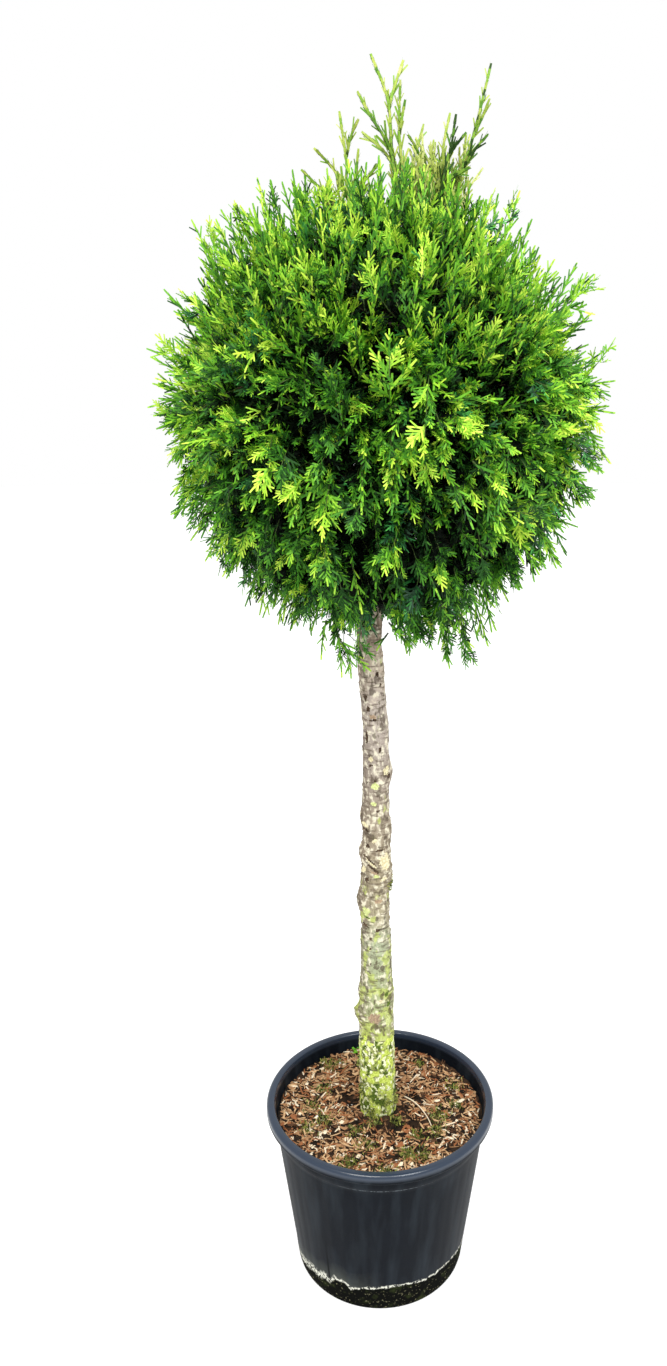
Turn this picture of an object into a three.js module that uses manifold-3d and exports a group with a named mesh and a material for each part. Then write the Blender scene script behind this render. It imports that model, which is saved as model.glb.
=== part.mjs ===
// A lollipop topiary: a conifer with flat, scale-leaved sprays, clipped to a ball on a bare trunk, standing
// in its round nursery pot. Millimetres, +Z up. The origin is the middle of the pot's flat underside. The
// front faces -Y, and seen from there the trunk bows a little to the left.
import * as THREE from 'three';
import { mergeVertices } from 'three/addons/utils/BufferGeometryUtils.js';
import Module from 'manifold-3d';

const wasm = await Module();
wasm.setup();

// ---------------------------------------------------------------- driving dimensions

const GAP = 0.3; // air between pieces that touch on the real plant

const POT_HEIGHT = 253;
const POT_FOOT_RADIUS = 118.8;
const POT_TAPER = 0.1256; // how much the wall's radius grows for each millimetre of height
const POT_WALL = 2.6;
const POT_FLOOR = 4;
const POT_FOOT_BEVEL = 4;
const LIP_RADIUS = 159.5;
const LIP_HEIGHT = 14;
const LIP_BEVEL = 2.5;
const COLLAR_PROUD = 1.6; // the stiffening band under the lip
const COLLAR_DROP = 13;
const POT_SIDES = 40;

const SOIL_LEVEL = 231;
const SOIL_PATCH = 34; // radius of the level patch round the foot of the trunk
const SOIL_RIM_DROP = 3;

const TRUNK_TOP = 1405;
const TRUNK_SIDES = 14;
// Stations up the trunk: height, how far its middle is right of the pot's axis and behind it, and radius.
const TRUNK_STATIONS = [
  [SOIL_LEVEL + GAP, -2, 0, 26.4],
  [262, -3, 0, 24.8],
  [340, -4.5, 1, 24.2],
  [400, -4.2, 2, 22.6],
  [480, -5, 3, 20.4],
  [520, -6.6, 3, 19.2],
  [560, -7, 3, 18.8],
  [610, -4.6, 3, 19.6],
  [650, -5, 3, 17.6],
  [720, -5.2, 2, 16.8],
  [790, -5.1, 1, 16.3],
  [857, -10, 0, 16],
  [910, -13.5, 0, 15.4],
  [1000, -10, 0, 13.6],
  [1100, -2, 0, 11.4],
  [1220, 8, 0, 8.4],
  [1330, 17, 0, 5],
  [TRUNK_TOP, 21, 0, 3.2],
];
// Burls and old branch collars: bearing in degrees (0 is right, -90 is the front), height, rise and reach.
const TRUNK_KNOBS = [
  [0, 741, 4, 14],
  [180, 678, 4, 13],
  [-10, 657, 3, 12],
  [195, 629, 5, 12],
  [-60, 610, 2.5, 14],
  [5, 590, 2.5, 12],
  [175, 557, 5, 15],
  [-120, 470, 2.5, 13],
  [180, 422, 3.5, 9],
  [190, 389, 8, 13],
  [-70, 350, 2.5, 16],
  [60, 500, 3.5, 16],
  [100, 700, 3.5, 15],
  [120, 590, 4, 15],
  [80, 410, 3.5, 17],
];
const BARE_TRUNK_STEPS = 46;
const HIDDEN_TRUNK_STEPS = 8;
const CROWN_FOOT = 905; // height at which the trunk goes into the foliage

const BALL_MIDDLE = new THREE.Vector3(-3, 0, 1173);
const BALL_RADIUS = 246;
const SHOULDER_RISE = 12; // the clipped ball is a little fuller round its top
const CORE_SHARE = 0.83; // the closed heart of the ball, as a share of its radius
const CORE_DETAIL = 4;
const CORE_TUFTS = 0.12; // how far its tufts stand out and the dips between them go in
const BALL_SPRAYS = 216;
const SPRAY_ROOT_SHARE = 0.77;
const SPRAY_RAGGED = [-6, 19]; // how far the tips stand in or out of the clipped face
const SPRAY_WIDTH = [0.75, 1];
const SPRAY_LIFT = [-1.1, 1]; // how a spray leans down below the ball's middle, and up at its shoulders
const LIFT_TURN = [-0.4, 0.75]; // from hanging to upright, by the upward share of the way out
const SPRAY_SIDEWAYS = 0.7;
const SPRAY_TWIST = 1.8; // how freely the faces of the sprays turn away from the ball's own face
const SPRAY_WANDER = 0.12; // how far they stray from an even spread over the ball
const SPRAY_THICKNESS = 2.2;
// The right half of a spray's outline for a length of 1: two fingers and their notches, across and along.
const FAN_HALF = [
  [0.055, 0.26],
  [0.36, 0.58],
  [0.11, 0.5],
  [0.27, 0.86],
  [0.06, 0.68],
];
const FAN_MIDDLE = 0.4;
const FAN_DROOP = 0.14;

// Tips of the sprays that the shears missed: right of the axis, behind it, height.
const LOOSE_TIPS = [
  [-44, -46, 880],
  [-28, -66, 903],
  [104, -40, 889],
  [78, -78, 905],
  [-60, 96, 892],
  [70, 104, 898],
  [-264, -12, 1188],
  [-263, 10, 1259],
  [270, 20, 1200],
  [262, -20, 1258],
  [256, -46, 1122],
  [-240, 30, 1120],
  [-222, -40, 1312],
  [243, -30, 1327],
  [-192, 10, 1390],
  [-160, -46, 1402],
  [149, -22, 1414],
  [122, -40, 1410],
  [-120, 10, 1428],
  [-88, -20, 1424],
  [-84, 46, 1441],
  [20, 272, 1220],
  [-46, 268, 1120],
  [40, -272, 1150],
  [-60, -262, 1240],
];

const STEM_SIDES = 3;
const STEM_STEPS = 4;
const LEAF_LENGTH = 38;
const LEAF_WIDTH = 9;
const LEAF_THICKNESS = 2;
const LEAF_SPACING = 18;
const LEAF_ANGLE = 0.62; // radians off the shoot's own direction
const LEAF_ROLL = 1.6; // how far the leaves turn round the shoot, in radians
const LEAF_SHORTENING = 0.4; // how much shorter the leaves are at the shoot's tip
const END_LEAF = 22; // the leaf that ends each stem reaches just past it
const BARE_STEM = 252; // within this distance of the ball's middle a shoot has no leaves

// The long shoots above the ball. Each stem has its way up through the crown, and its radius at foot and tip.
const SHOOTS = {
  leader_shoots: [
    {
      way: [[21, 0, TRUNK_TOP + GAP], [20, 0, 1424], [13, -2, 1460], [8.7, -4, 1510], [-8.6, -6, 1552]],
      radius: [2.9, 0.9],
    },
    {
      way: [[9.4, -3.5, 1500], [14, -2, 1520], [24.7, 2, 1550]],
      radius: [1.8, 0.9],
    },
    {
      way: [[20, 1, 1420], [24, 6, 1446], [21, 7, 1483], [22, 10, 1532]],
      radius: [2.4, 0.9],
    },
    {
      way: [[22, 7, 1480], [24, 5, 1496], [27, 3, 1511]],
      radius: [1.4, 0.8],
    },
    {
      way: [[16, -2, 1452], [6, -8, 1472], [-10, -15, 1493], [-23, -18, 1514]],
      radius: [1.8, 0.8],
    },
    {
      way: [[17, -1, 1444], [4, 4, 1463], [-18, 16, 1483]],
      radius: [1.7, 0.8],
    },
  ],
  right_top_shoots: [
    {
      way: [[10, 0, 1250], [46, 2, 1340], [76, 4, 1420], [91, 6, 1446], [104, 8, 1484], [120, 10, 1549]],
      radius: [4.4, 0.9],
    },
    {
      way: [[64, 3, 1394], [71, -8, 1442], [77, -12, 1464], [81, -16, 1491]],
      radius: [2.4, 0.9],
    },
    {
      way: [[74, -10, 1452], [81, -16, 1463], [90, -21, 1473]],
      radius: [1.5, 0.8],
    },
    {
      way: [[72, 4, 1412], [71, 6, 1440], [70, 8, 1468], [76, 12, 1499]],
      radius: [2.2, 0.9],
    },
    {
      way: [[89, 6, 1442], [102, 0, 1461], [117, -8, 1477]],
      radius: [1.8, 0.8],
    },
    {
      way: [[70, -4, 1428], [83, -8, 1437], [98, -14, 1443]],
      radius: [1.6, 0.8],
    },
    {
      way: [[102, 8, 1478], [111, 2, 1495], [118, -4, 1512]],
      radius: [1.4, 0.8],
    },
  ],
  left_top_shoots: [
    {
      way: [[8, 0, 1220], [-14, 4, 1330], [-36, 8, 1420], [-37, 9, 1452], [-44, 12, 1500]],
      radius: [4, 0.9],
    },
    {
      way: [[-37, 9, 1458], [-32, 4, 1477], [-24, 0, 1492]],
      radius: [1.7, 0.8],
    },
    {
      way: [[-35, 8, 1414], [-48, 0, 1440], [-68, -14, 1459]],
      radius: [1.9, 0.8],
    },
    {
      way: [[-34, 8, 1408], [-27, 6, 1440], [-24, 6, 1463]],
      radius: [1.8, 0.8],
    },
    {
      way: [[-32, 8, 1404], [-22, -8, 1424], [-1, -16, 1447]],
      radius: [1.8, 0.8],
    },
    {
      way: [[-31, 8, 1396], [-54, -12, 1412], [-82, -26, 1436]],
      radius: [2, 0.8],
    },
  ],
  back_top_shoots: [
    {
      way: [[12, 0, 1280], [22, 30, 1350], [34, 50, 1420], [38, 56, 1458], [49, 64, 1500]],
      radius: [3.6, 0.9],
    },
    {
      way: [[36, 54, 1436], [50, 57, 1454], [42, 50, 1474], [32, 46, 1488]],
      radius: [1.8, 0.8],
    },
    {
      way: [[34, 50, 1420], [56, 58, 1444], [62, 63, 1472]],
      radius: [1.9, 0.8],
    },
  ],
};

const FINISH = {
  plastic: new THREE.MeshStandardMaterial({ color: 0x2c343b, roughness: 0.5, metalness: 0 }),
  soil: new THREE.MeshStandardMaterial({ color: 0x7a5338, roughness: 1, metalness: 0 }),
  bark: new THREE.MeshStandardMaterial({ color: 0xa39a80, roughness: 0.9, metalness: 0 }),
  foliage: new THREE.MeshStandardMaterial({ color: 0x4f8f2a, roughness: 0.7, metalness: 0 }),
  youngShoots: new THREE.MeshStandardMaterial({ color: 0x86b838, roughness: 0.7, metalness: 0 }),
};

// ---------------------------------------------------------------- helpers

// The same numbers between 0 and 1 on every run.
function seeded(seed) {
  let state = seed;
  return () => {
    state = (state + 0x6d2b79f5) | 0;
    let mixed = Math.imul(state ^ (state >>> 15), 1 | state);
    mixed = (mixed + Math.imul(mixed ^ (mixed >>> 7), 61 | mixed)) ^ mixed;
    return ((mixed ^ (mixed >>> 14)) >>> 0) / 4294967296;
  };
}

const between = (random, [low, high]) => low + (high - low) * random();

// A three.js geometry as a closed solid that can be joined and cut.
function solid(geometry) {
  const bare = geometry.clone();
  bare.deleteAttribute('normal');
  bare.deleteAttribute('uv');
  const welded = mergeVertices(bare);
  const corners = Array.from(welded.index.array);
  const faces = [];
  for (let i = 0; i < corners.length; i += 3) {
    const [a, b, c] = corners.slice(i, i + 3);
    if (a !== b && b !== c && c !== a) {
      faces.push(a, b, c);
    }
  }
  const vertProperties = new Float32Array(welded.attributes.position.array);
  return new wasm.Manifold(new wasm.Mesh({ numProp: 3, vertProperties, triVerts: new Uint32Array(faces) }));
}

// The largest single body of a solid: sealed hollows are filled and loose scraps are dropped.
function largestBody(body) {
  return body.decompose().reduce((best, next) => (next.volume() > best.volume() ? next : best));
}

function meshOf(name, body, material) {
  const { vertProperties, triVerts } = body.getMesh();
  const geometry = new THREE.BufferGeometry();
  geometry.setAttribute('position', new THREE.BufferAttribute(vertProperties, 3));
  geometry.setIndex(new THREE.BufferAttribute(triVerts, 1));
  geometry.computeVertexNormals();
  const mesh = new THREE.Mesh(geometry, material);
  mesh.name = name;
  return mesh;
}

// A solid of revolution from its outline, given as pairs of radius and height.
function turned(outline) {
  const profile = outline.map(([radius, height]) => new THREE.Vector2(radius, height));
  return solid(new THREE.LatheGeometry(profile, POT_SIDES).rotateX(Math.PI / 2));
}

// A limb with closed ends, its sections square to `facing`. middleAt and radiusAt take a share of its length.
function limb(middleAt, radiusAt, facing, sides, steps) {
  const shape = new THREE.CylinderGeometry(1, 1, 1, sides, steps).rotateX(Math.PI / 2);
  const turn = new THREE.Quaternion().setFromUnitVectors(new THREE.Vector3(0, 0, 1), facing);
  const place = shape.attributes.position;
  const point = new THREE.Vector3();
  for (let i = 0; i < place.count; i += 1) {
    point.fromBufferAttribute(place, i);
    const share = point.z + 0.5;
    const radius = radiusAt(share, Math.atan2(point.y, point.x));
    point.set(point.x * radius, point.y * radius, 0).applyQuaternion(turn).add(middleAt(share));
    place.setXYZ(i, point.x, point.y, point.z);
  }
  return solid(shape);
}

// A thin blade: an outline, drawn out to one point above and one below its middle. Its root is at the
// origin, it grows along +Y, and its face looks along +Z.
function blade(outline, middle, thickness, droop) {
  const shape = new THREE.SphereGeometry(1, outline.length, 2);
  const place = shape.attributes.position;
  const row = outline.length + 1;
  for (let i = 0; i < place.count; i += 1) {
    const [across, along] = outline[(i % row) % outline.length];
    const level = 1 - Math.floor(i / row);
    if (level === 0) {
      place.setXYZ(i, across, along, -droop * along * along);
    } else {
      place.setXYZ(i, 0, middle, (level * thickness) / 2);
    }
  }
  return shape;
}

// A blade of length 1, stretched from root to tip with its face turned towards `outward`.
function laid(shape, root, tip, outward, width) {
  const length = root.distanceTo(tip);
  const along = tip.clone().sub(root).normalize();
  const across = along.clone().cross(outward).normalize();
  const face = across.clone().cross(along);
  const matrix = new THREE.Matrix4().makeBasis(across, along, face);
  matrix.scale(new THREE.Vector3(length * width, length, 1)).setPosition(root);
  return solid(shape.clone().applyMatrix4(matrix));
}

// ---------------------------------------------------------------- the pot

const wallAt = (height) => POT_FOOT_RADIUS + POT_TAPER * height;
const lipFoot = POT_HEIGHT - LIP_HEIGHT;
const collarFoot = lipFoot - COLLAR_DROP;
const mouth = wallAt(POT_HEIGHT) - POT_WALL;

const pot = turned([
  [0, 0],
  [POT_FOOT_RADIUS - POT_FOOT_BEVEL, 0],
  [wallAt(POT_FOOT_BEVEL), POT_FOOT_BEVEL],
  [wallAt(collarFoot), collarFoot],
  [wallAt(collarFoot) + COLLAR_PROUD, collarFoot + COLLAR_PROUD],
  [wallAt(lipFoot) + COLLAR_PROUD, lipFoot],
  [LIP_RADIUS - LIP_BEVEL, lipFoot],
  [LIP_RADIUS, lipFoot + LIP_BEVEL],
  [LIP_RADIUS, POT_HEIGHT - LIP_BEVEL],
  [LIP_RADIUS - LIP_BEVEL, POT_HEIGHT],
  [mouth + LIP_BEVEL, POT_HEIGHT],
  [mouth, POT_HEIGHT - LIP_BEVEL],
  [wallAt(POT_FLOOR) - POT_WALL, POT_FLOOR],
  [0, POT_FLOOR],
]);

// ---------------------------------------------------------------- the potting soil that fills it

const soilEdgeAt = (height) => wallAt(height) - POT_WALL - GAP;
const soilFoot = POT_FLOOR + GAP;
const soilRim = SOIL_LEVEL - SOIL_RIM_DROP;

const soil = turned([
  [0, soilFoot],
  [soilEdgeAt(soilFoot), soilFoot],
  [soilEdgeAt(soilRim), soilRim],
  [soilEdgeAt(soilRim) * 0.8, SOIL_LEVEL - 1],
  [SOIL_PATCH * 1.8, SOIL_LEVEL - 2],
  [SOIL_PATCH, SOIL_LEVEL],
  [0, SOIL_LEVEL],
]);

// ---------------------------------------------------------------- the trunk, which runs up into the crown

// The value of one column of the stations at a height, with no corner where two stretches meet.
function station(column, height) {
  const after = TRUNK_STATIONS.findIndex(([z]) => z >= height);
  if (after <= 0) {
    return TRUNK_STATIONS[after < 0 ? TRUNK_STATIONS.length - 1 : 0][column];
  }
  const low = TRUNK_STATIONS[after - 1];
  const high = TRUNK_STATIONS[after];
  const share = (height - low[0]) / (high[0] - low[0]);
  const eased = (share + THREE.MathUtils.smoothstep(share, 0, 1)) / 2;
  return THREE.MathUtils.lerp(low[column], high[column], eased);
}

function knobRise(height, bearing, radius) {
  return TRUNK_KNOBS.reduce((sum, [degrees, z, rise, reach]) => {
    const turn = bearing - THREE.MathUtils.degToRad(degrees);
    const round = Math.atan2(Math.sin(turn), Math.cos(turn)) * radius;
    return sum + rise * Math.exp(-(round ** 2 + (height - z) ** 2) / reach ** 2);
  }, 0);
}

const trunkSteps = BARE_TRUNK_STEPS + HIDDEN_TRUNK_STEPS;

// Short steps up the bare trunk, where the knobs are, and long ones inside the crown.
function trunkHeight(share) {
  const step = share * trunkSteps;
  if (step <= BARE_TRUNK_STEPS) {
    return THREE.MathUtils.lerp(SOIL_LEVEL + GAP, CROWN_FOOT, step / BARE_TRUNK_STEPS);
  }
  return THREE.MathUtils.lerp(CROWN_FOOT, TRUNK_TOP, (step - BARE_TRUNK_STEPS) / HIDDEN_TRUNK_STEPS);
}

function trunkMiddle(share) {
  const height = trunkHeight(share);
  return new THREE.Vector3(station(1, height), station(2, height), height);
}

function trunkLimb(spare) {
  const radiusAt = (share, bearing) => {
    const height = trunkHeight(share);
    const radius = station(3, height);
    return radius + knobRise(height, bearing, radius) + spare;
  };
  return limb(trunkMiddle, radiusAt, new THREE.Vector3(0, 0, 1), TRUNK_SIDES, trunkSteps);
}

const trunk = trunkLimb(0);
const roundTrunk = trunkLimb(GAP);

// ---------------------------------------------------------------- the long shoots above the ball

const LEAF_MIDDLE = 0.4;
const leafOutline = [[0, 0], [0.5, LEAF_MIDDLE], [0, 1], [-0.5, LEAF_MIDDLE]];
const leafShape = blade(leafOutline, LEAF_MIDDLE, LEAF_THICKNESS, 0);

function stemLimb({ way, radius }, spare) {
  const curve = new THREE.CatmullRomCurve3(way.map((point) => new THREE.Vector3(...point)));
  const facing = curve.getPoint(1).sub(curve.getPoint(0)).normalize();
  const radiusAt = (share) => THREE.MathUtils.lerp(radius[0], radius[1], share) + spare;
  return limb((share) => curve.getPoint(share), radiusAt, facing, STEM_SIDES, STEM_STEPS + way.length);
}

// Leaves stand off a stem by turns to the left and right of it, shorter towards its tip, and one ends it.
function leavesOn({ way }, random) {
  const curve = new THREE.CatmullRomCurve3(way.map((point) => new THREE.Vector3(...point)));
  const length = curve.getLength();
  const leaves = [];
  const put = (root, direction, size) => {
    const outward = new THREE.Vector3(random() - 0.5, -1, random() - 0.5).normalize();
    const tip = root.clone().addScaledVector(direction, size);
    leaves.push(laid(leafShape, root, tip, outward, LEAF_WIDTH / LEAF_LENGTH));
  };
  let side = random() < 0.5 ? -1 : 1;
  for (let gone = LEAF_SPACING; gone < length - LEAF_SPACING; gone += LEAF_SPACING) {
    const root = curve.getPointAt(gone / length);
    if (root.distanceTo(BALL_MIDDLE) > BARE_STEM) {
      const along = curve.getTangentAt(gone / length);
      const across = new THREE.Vector3(0, -1, 0).cross(along).normalize();
      across.applyAxisAngle(along, (random() - 0.5) * LEAF_ROLL);
      const growth = along.clone().multiplyScalar(Math.cos(LEAF_ANGLE));
      growth.addScaledVector(across, side * Math.sin(LEAF_ANGLE));
      put(root, growth, LEAF_LENGTH * (1 - (LEAF_SHORTENING * gone) / length));
      side = -side;
    }
  }
  put(curve.getPointAt(1 - END_LEAF / length), curve.getTangentAt(1), END_LEAF);
  return leaves;
}

function shootMass(stems, random) {
  const parts = stems.flatMap((stem) => [stemLimb(stem, 0), ...leavesOn(stem, random)]);
  return largestBody(wasm.Manifold.union(parts).subtract(roundTrunk));
}

const shootRandom = seeded(41);
const shoots = Object.entries(SHOOTS).map(([name, stems]) => {
  const body = shootMass(stems, shootRandom);
  return { name, stems, body };
});

// ---------------------------------------------------------------- the clipped ball

// How far the shears left the foliage in a direction from the ball's middle.
function clippedRadius(direction) {
  return BALL_RADIUS + SHOULDER_RISE * THREE.MathUtils.smoothstep(direction.z, 0.3, 0.8);
}

// Between -1 and 1. It changes so quickly that one corner of the core stands out and the next lies deep.
function tuft({ x, y, z }) {
  const across = Math.sin(23 * x + 1.3) * Math.sin(29 * y + 0.4);
  const upright = Math.sin(31 * z + 2.1) * Math.cos(19 * x - 17 * y);
  return (across + upright) / 2;
}

function ballCore() {
  const shape = new THREE.IcosahedronGeometry(1, CORE_DETAIL);
  const place = shape.attributes.position;
  const point = new THREE.Vector3();
  for (let i = 0; i < place.count; i += 1) {
    point.fromBufferAttribute(place, i).normalize();
    const radius = clippedRadius(point) * (CORE_SHARE + CORE_TUFTS * tuft(point));
    point.multiplyScalar(radius).add(BALL_MIDDLE);
    place.setXYZ(i, point.x, point.y, point.z);
  }
  return solid(shape);
}

const fanOutline = [
  [0, 0],
  ...FAN_HALF,
  [0, 1],
  ...FAN_HALF.map(([across, along]) => [-across, along]).reverse(),
];

// A spray from its root in the core to a tip. High up on the ball it points upwards, and lower down it hangs.
function spray(tip, random) {
  const out = tip.clone().sub(BALL_MIDDLE);
  const reach = out.length();
  out.normalize();
  const lift = THREE.MathUtils.lerp(...SPRAY_LIFT, THREE.MathUtils.smoothstep(out.z, ...LIFT_TURN));
  const sideways = new THREE.Vector3(random() - 0.5, random() - 0.5, 0);
  const growth = out.clone().addScaledVector(sideways, SPRAY_SIDEWAYS);
  growth.z += lift * between(random, [0.6, 1]);
  growth.normalize();
  const depth = reach - clippedRadius(out) * SPRAY_ROOT_SHARE;
  const root = tip.clone().addScaledVector(growth, -depth / Math.max(growth.dot(out), 0.6));
  const lean = new THREE.Vector3(random() - 0.5, random() - 0.5, random() - 0.5);
  const outward = out.clone().addScaledVector(lean, SPRAY_TWIST).normalize();
  const shape = blade(fanOutline, FAN_MIDDLE, SPRAY_THICKNESS, FAN_DROOP * root.distanceTo(tip));
  return laid(shape, root, tip, outward, between(random, SPRAY_WIDTH));
}

// Evenly spread directions, from the top of a sphere down.
function spread(index, count) {
  const height = 1 - (2 * (index + 0.5)) / count;
  const bearing = index * Math.PI * (3 - Math.sqrt(5));
  const radius = Math.sqrt(1 - height * height);
  return new THREE.Vector3(radius * Math.cos(bearing), radius * Math.sin(bearing), height);
}

// True where a spray would touch a shoot, or the trunk outside the core.
function touches(leaf, neighbours) {
  return neighbours.some((other) => leaf.minGap(other, 2 * GAP) < 2 * GAP);
}

function clippedBall() {
  const random = seeded(7);
  const core = ballCore();
  const bareTrunk = trunk.subtract(core);
  const above = shoots.map(({ body }) => body.subtract(core));
  const tips = LOOSE_TIPS.map((point) => new THREE.Vector3(...point));
  for (let i = 0; i < BALL_SPRAYS; i += 1) {
    const way = spread(i, BALL_SPRAYS);
    const wander = new THREE.Vector3(random() - 0.5, random() - 0.5, random() - 0.5);
    way.addScaledVector(wander, SPRAY_WANDER).normalize();
    tips.push(way.multiplyScalar(clippedRadius(way) + between(random, SPRAY_RAGGED)).add(BALL_MIDDLE));
  }
  const neighbours = [bareTrunk, ...above];
  const sprays = tips.map((tip) => spray(tip, random)).filter((leaf) => !touches(leaf, neighbours));
  const channels = wasm.Manifold.union([roundTrunk, ...shoots.map(({ stems }) => stemLimb(stems[0], GAP))]);
  return largestBody(wasm.Manifold.union([core, ...sprays]).subtract(channels));
}

// ---------------------------------------------------------------- the whole plant

const topiary = new THREE.Group();
topiary.add(meshOf('pot', pot, FINISH.plastic));
topiary.add(meshOf('potting_soil', soil, FINISH.soil));
topiary.add(meshOf('trunk', trunk, FINISH.bark));
topiary.add(meshOf('clipped_ball', clippedBall(), FINISH.foliage));
shoots.forEach(({ name, body }) => topiary.add(meshOf(name, body, FINISH.youngShoots)));

export default topiary;
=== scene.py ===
# %% [markdown]
# A lollipop topiary, grown in code. The real plant is a conifer with flat sprays of scale leaves, clipped to
# a ball on a bare trunk, in its nursery pot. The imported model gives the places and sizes; this script
# dresses every node of it. The pot and trunk become fine meshes, the soil gets its bark chips, and the solid
# ball gives way to boughs, twigs and sprays that grow by one rule. Everything is in metres, +Z up, and the
# front faces -Y.

# %% The frame, and the helpers that every later cell uses
import math

import bmesh
import bpy
import numpy as np
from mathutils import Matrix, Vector, noise


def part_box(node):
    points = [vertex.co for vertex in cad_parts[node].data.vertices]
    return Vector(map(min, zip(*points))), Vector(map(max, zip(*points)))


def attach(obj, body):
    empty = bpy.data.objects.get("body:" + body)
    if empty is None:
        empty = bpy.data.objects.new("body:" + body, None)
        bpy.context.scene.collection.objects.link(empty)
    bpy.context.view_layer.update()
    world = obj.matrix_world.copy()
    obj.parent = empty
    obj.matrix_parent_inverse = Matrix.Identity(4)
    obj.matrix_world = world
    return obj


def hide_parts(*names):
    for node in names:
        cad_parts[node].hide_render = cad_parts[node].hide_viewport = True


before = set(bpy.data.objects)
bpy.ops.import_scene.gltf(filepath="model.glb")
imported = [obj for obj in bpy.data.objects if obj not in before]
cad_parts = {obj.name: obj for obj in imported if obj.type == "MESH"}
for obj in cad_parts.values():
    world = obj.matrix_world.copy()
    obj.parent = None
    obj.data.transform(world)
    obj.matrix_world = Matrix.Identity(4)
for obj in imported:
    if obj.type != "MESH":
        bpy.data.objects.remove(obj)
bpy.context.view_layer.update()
MM = 0.001
print("nodes to dress:", sorted(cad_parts))


def linear(hex_code, share=1.0):
    """An sRGB hex colour as the linear RGBA that a shader socket takes, darkened by a share."""
    channels = [int(hex_code[place:place + 2], 16) / 255 for place in (1, 3, 5)]
    bright = [c / 12.92 if c <= 0.04045 else ((c + 0.055) / 1.055) ** 2.4 for c in channels]
    return (*[share * c for c in bright], 1.0)


def add_node(tree, kind, settings=None, inputs=None):
    """Adds a node, sets its own settings, and gives each input a value or a link.

    A node given as a value stands for its first output that is in use.
    """
    node = tree.nodes.new(kind)
    for name, value in (settings or {}).items():
        setattr(node, name, value)
    for name, value in (inputs or {}).items():
        if isinstance(value, bpy.types.Node):
            value = next(output for output in value.outputs if output.enabled)
        if isinstance(value, bpy.types.NodeSocket):
            tree.links.new(value, node.inputs[name])
        else:
            node.inputs[name].default_value = value
    return node


MIX_COLOURS = {"data_type": "RGBA"}
MIX_FACTOR, MIX_A, MIX_B, MIX_OUT = 0, 6, 7, 2


def new_finish(name, roughness, specular=0.5):
    """A material with an empty node tree, its shader, and the place on the object where patterns start."""
    material = bpy.data.materials.new(name)
    material.use_nodes = True
    tree = material.node_tree
    tree.nodes.clear()
    shader = add_node(tree, "ShaderNodeBsdfPrincipled", None, {
        "Roughness": roughness, "Specular IOR Level": specular})
    output = add_node(tree, "ShaderNodeOutputMaterial", None, {"Surface": shader.outputs["BSDF"]})
    output.is_active_output = True
    place = add_node(tree, "ShaderNodeTexCoord").outputs["Object"]
    return material, tree, shader, place


def grains(size):
    """How many grains of a size in millimetres fit in a metre, which is what a pattern's scale means."""
    return 1 / (size * MM)


def mottled_finish(name, roughness, specular, grain, detail, dark, light, limits=(0, 1)):
    """A finish mottled between two shades by grains of a size in millimetres, with its noise."""
    material, tree, shader, place = new_finish(name, roughness, specular)
    mottle = add_node(tree, "ShaderNodeTexNoise", None, {
        "Vector": place, "Scale": grains(grain), "Detail": detail})
    share = add_node(tree, "ShaderNodeMapRange", None, {
        "Value": mottle, "From Min": limits[0], "From Max": limits[1]})
    tint = add_node(tree, "ShaderNodeMix", MIX_COLOURS, {MIX_FACTOR: share, MIX_A: dark, MIX_B: light})
    tree.links.new(tint.outputs[MIX_OUT], shader.inputs["Base Color"])
    return material, tree, shader, place, mottle


def ring_quads(rings, columns):
    """The quads between closed rings of points, where each ring follows the one before it."""
    row, column = np.meshgrid(np.arange(rings - 1), np.arange(columns), indexing="ij")
    following = (column + 1) % columns
    return np.stack([row * columns + column, row * columns + following,
                     (row + 1) * columns + following, (row + 1) * columns + column], -1).reshape(-1, 4)


def piece_from_arrays(name, points, faces, materials, material_of_face=None, smooth=True):
    """A mesh piece from an array of points and an array of triangles or quads."""
    points = np.asarray(points, np.float32)
    faces = np.asarray(faces, np.int32)
    sides = faces.shape[1]
    mesh = bpy.data.meshes.new(name)
    mesh.vertices.add(len(points))
    mesh.vertices.foreach_set("co", points.ravel())
    mesh.loops.add(faces.size)
    mesh.loops.foreach_set("vertex_index", faces.ravel())
    mesh.polygons.add(len(faces))
    mesh.polygons.foreach_set("loop_start", np.arange(0, faces.size, sides, dtype=np.int32))
    for material in materials:
        mesh.materials.append(material)
    if material_of_face is not None:
        mesh.polygons.foreach_set("material_index", np.asarray(material_of_face, np.int32))
    mesh.polygons.foreach_set("use_smooth", np.full(len(faces), smooth))
    mesh.update(calc_edges=True)
    piece = bpy.data.objects.new(name, mesh)
    bpy.context.scene.collection.objects.link(piece)
    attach(piece, "root")
    return piece


def unit(vectors):
    return vectors / np.linalg.norm(vectors, axis=-1, keepdims=True)


def smoothstep(value, low, high):
    share = np.clip((value - low) / (high - low), 0, 1)
    return share * share * (3 - 2 * share)


# %% [markdown]
# The camera comes first, because it decides what each piece has to show. It stands 1.24 m in front of the
# plant and 1.2 m up, just above the middle of the ball, and looks down by 15.6 degrees, so the pot is seen
# from well above and the ball almost level. The plant stands a little right of the picture's middle, which a
# small shift gives.

# %% Camera
CAMERA_DISTANCE = 1.240
CAMERA_HEIGHT = 1.203
CAMERA_PITCH = 15.6
PICTURE_SIDES = (667, 1366)
PLANT_COLUMN = 380
FOCAL_LENGTH_PIXELS = 1026
SENSOR = 36

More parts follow.
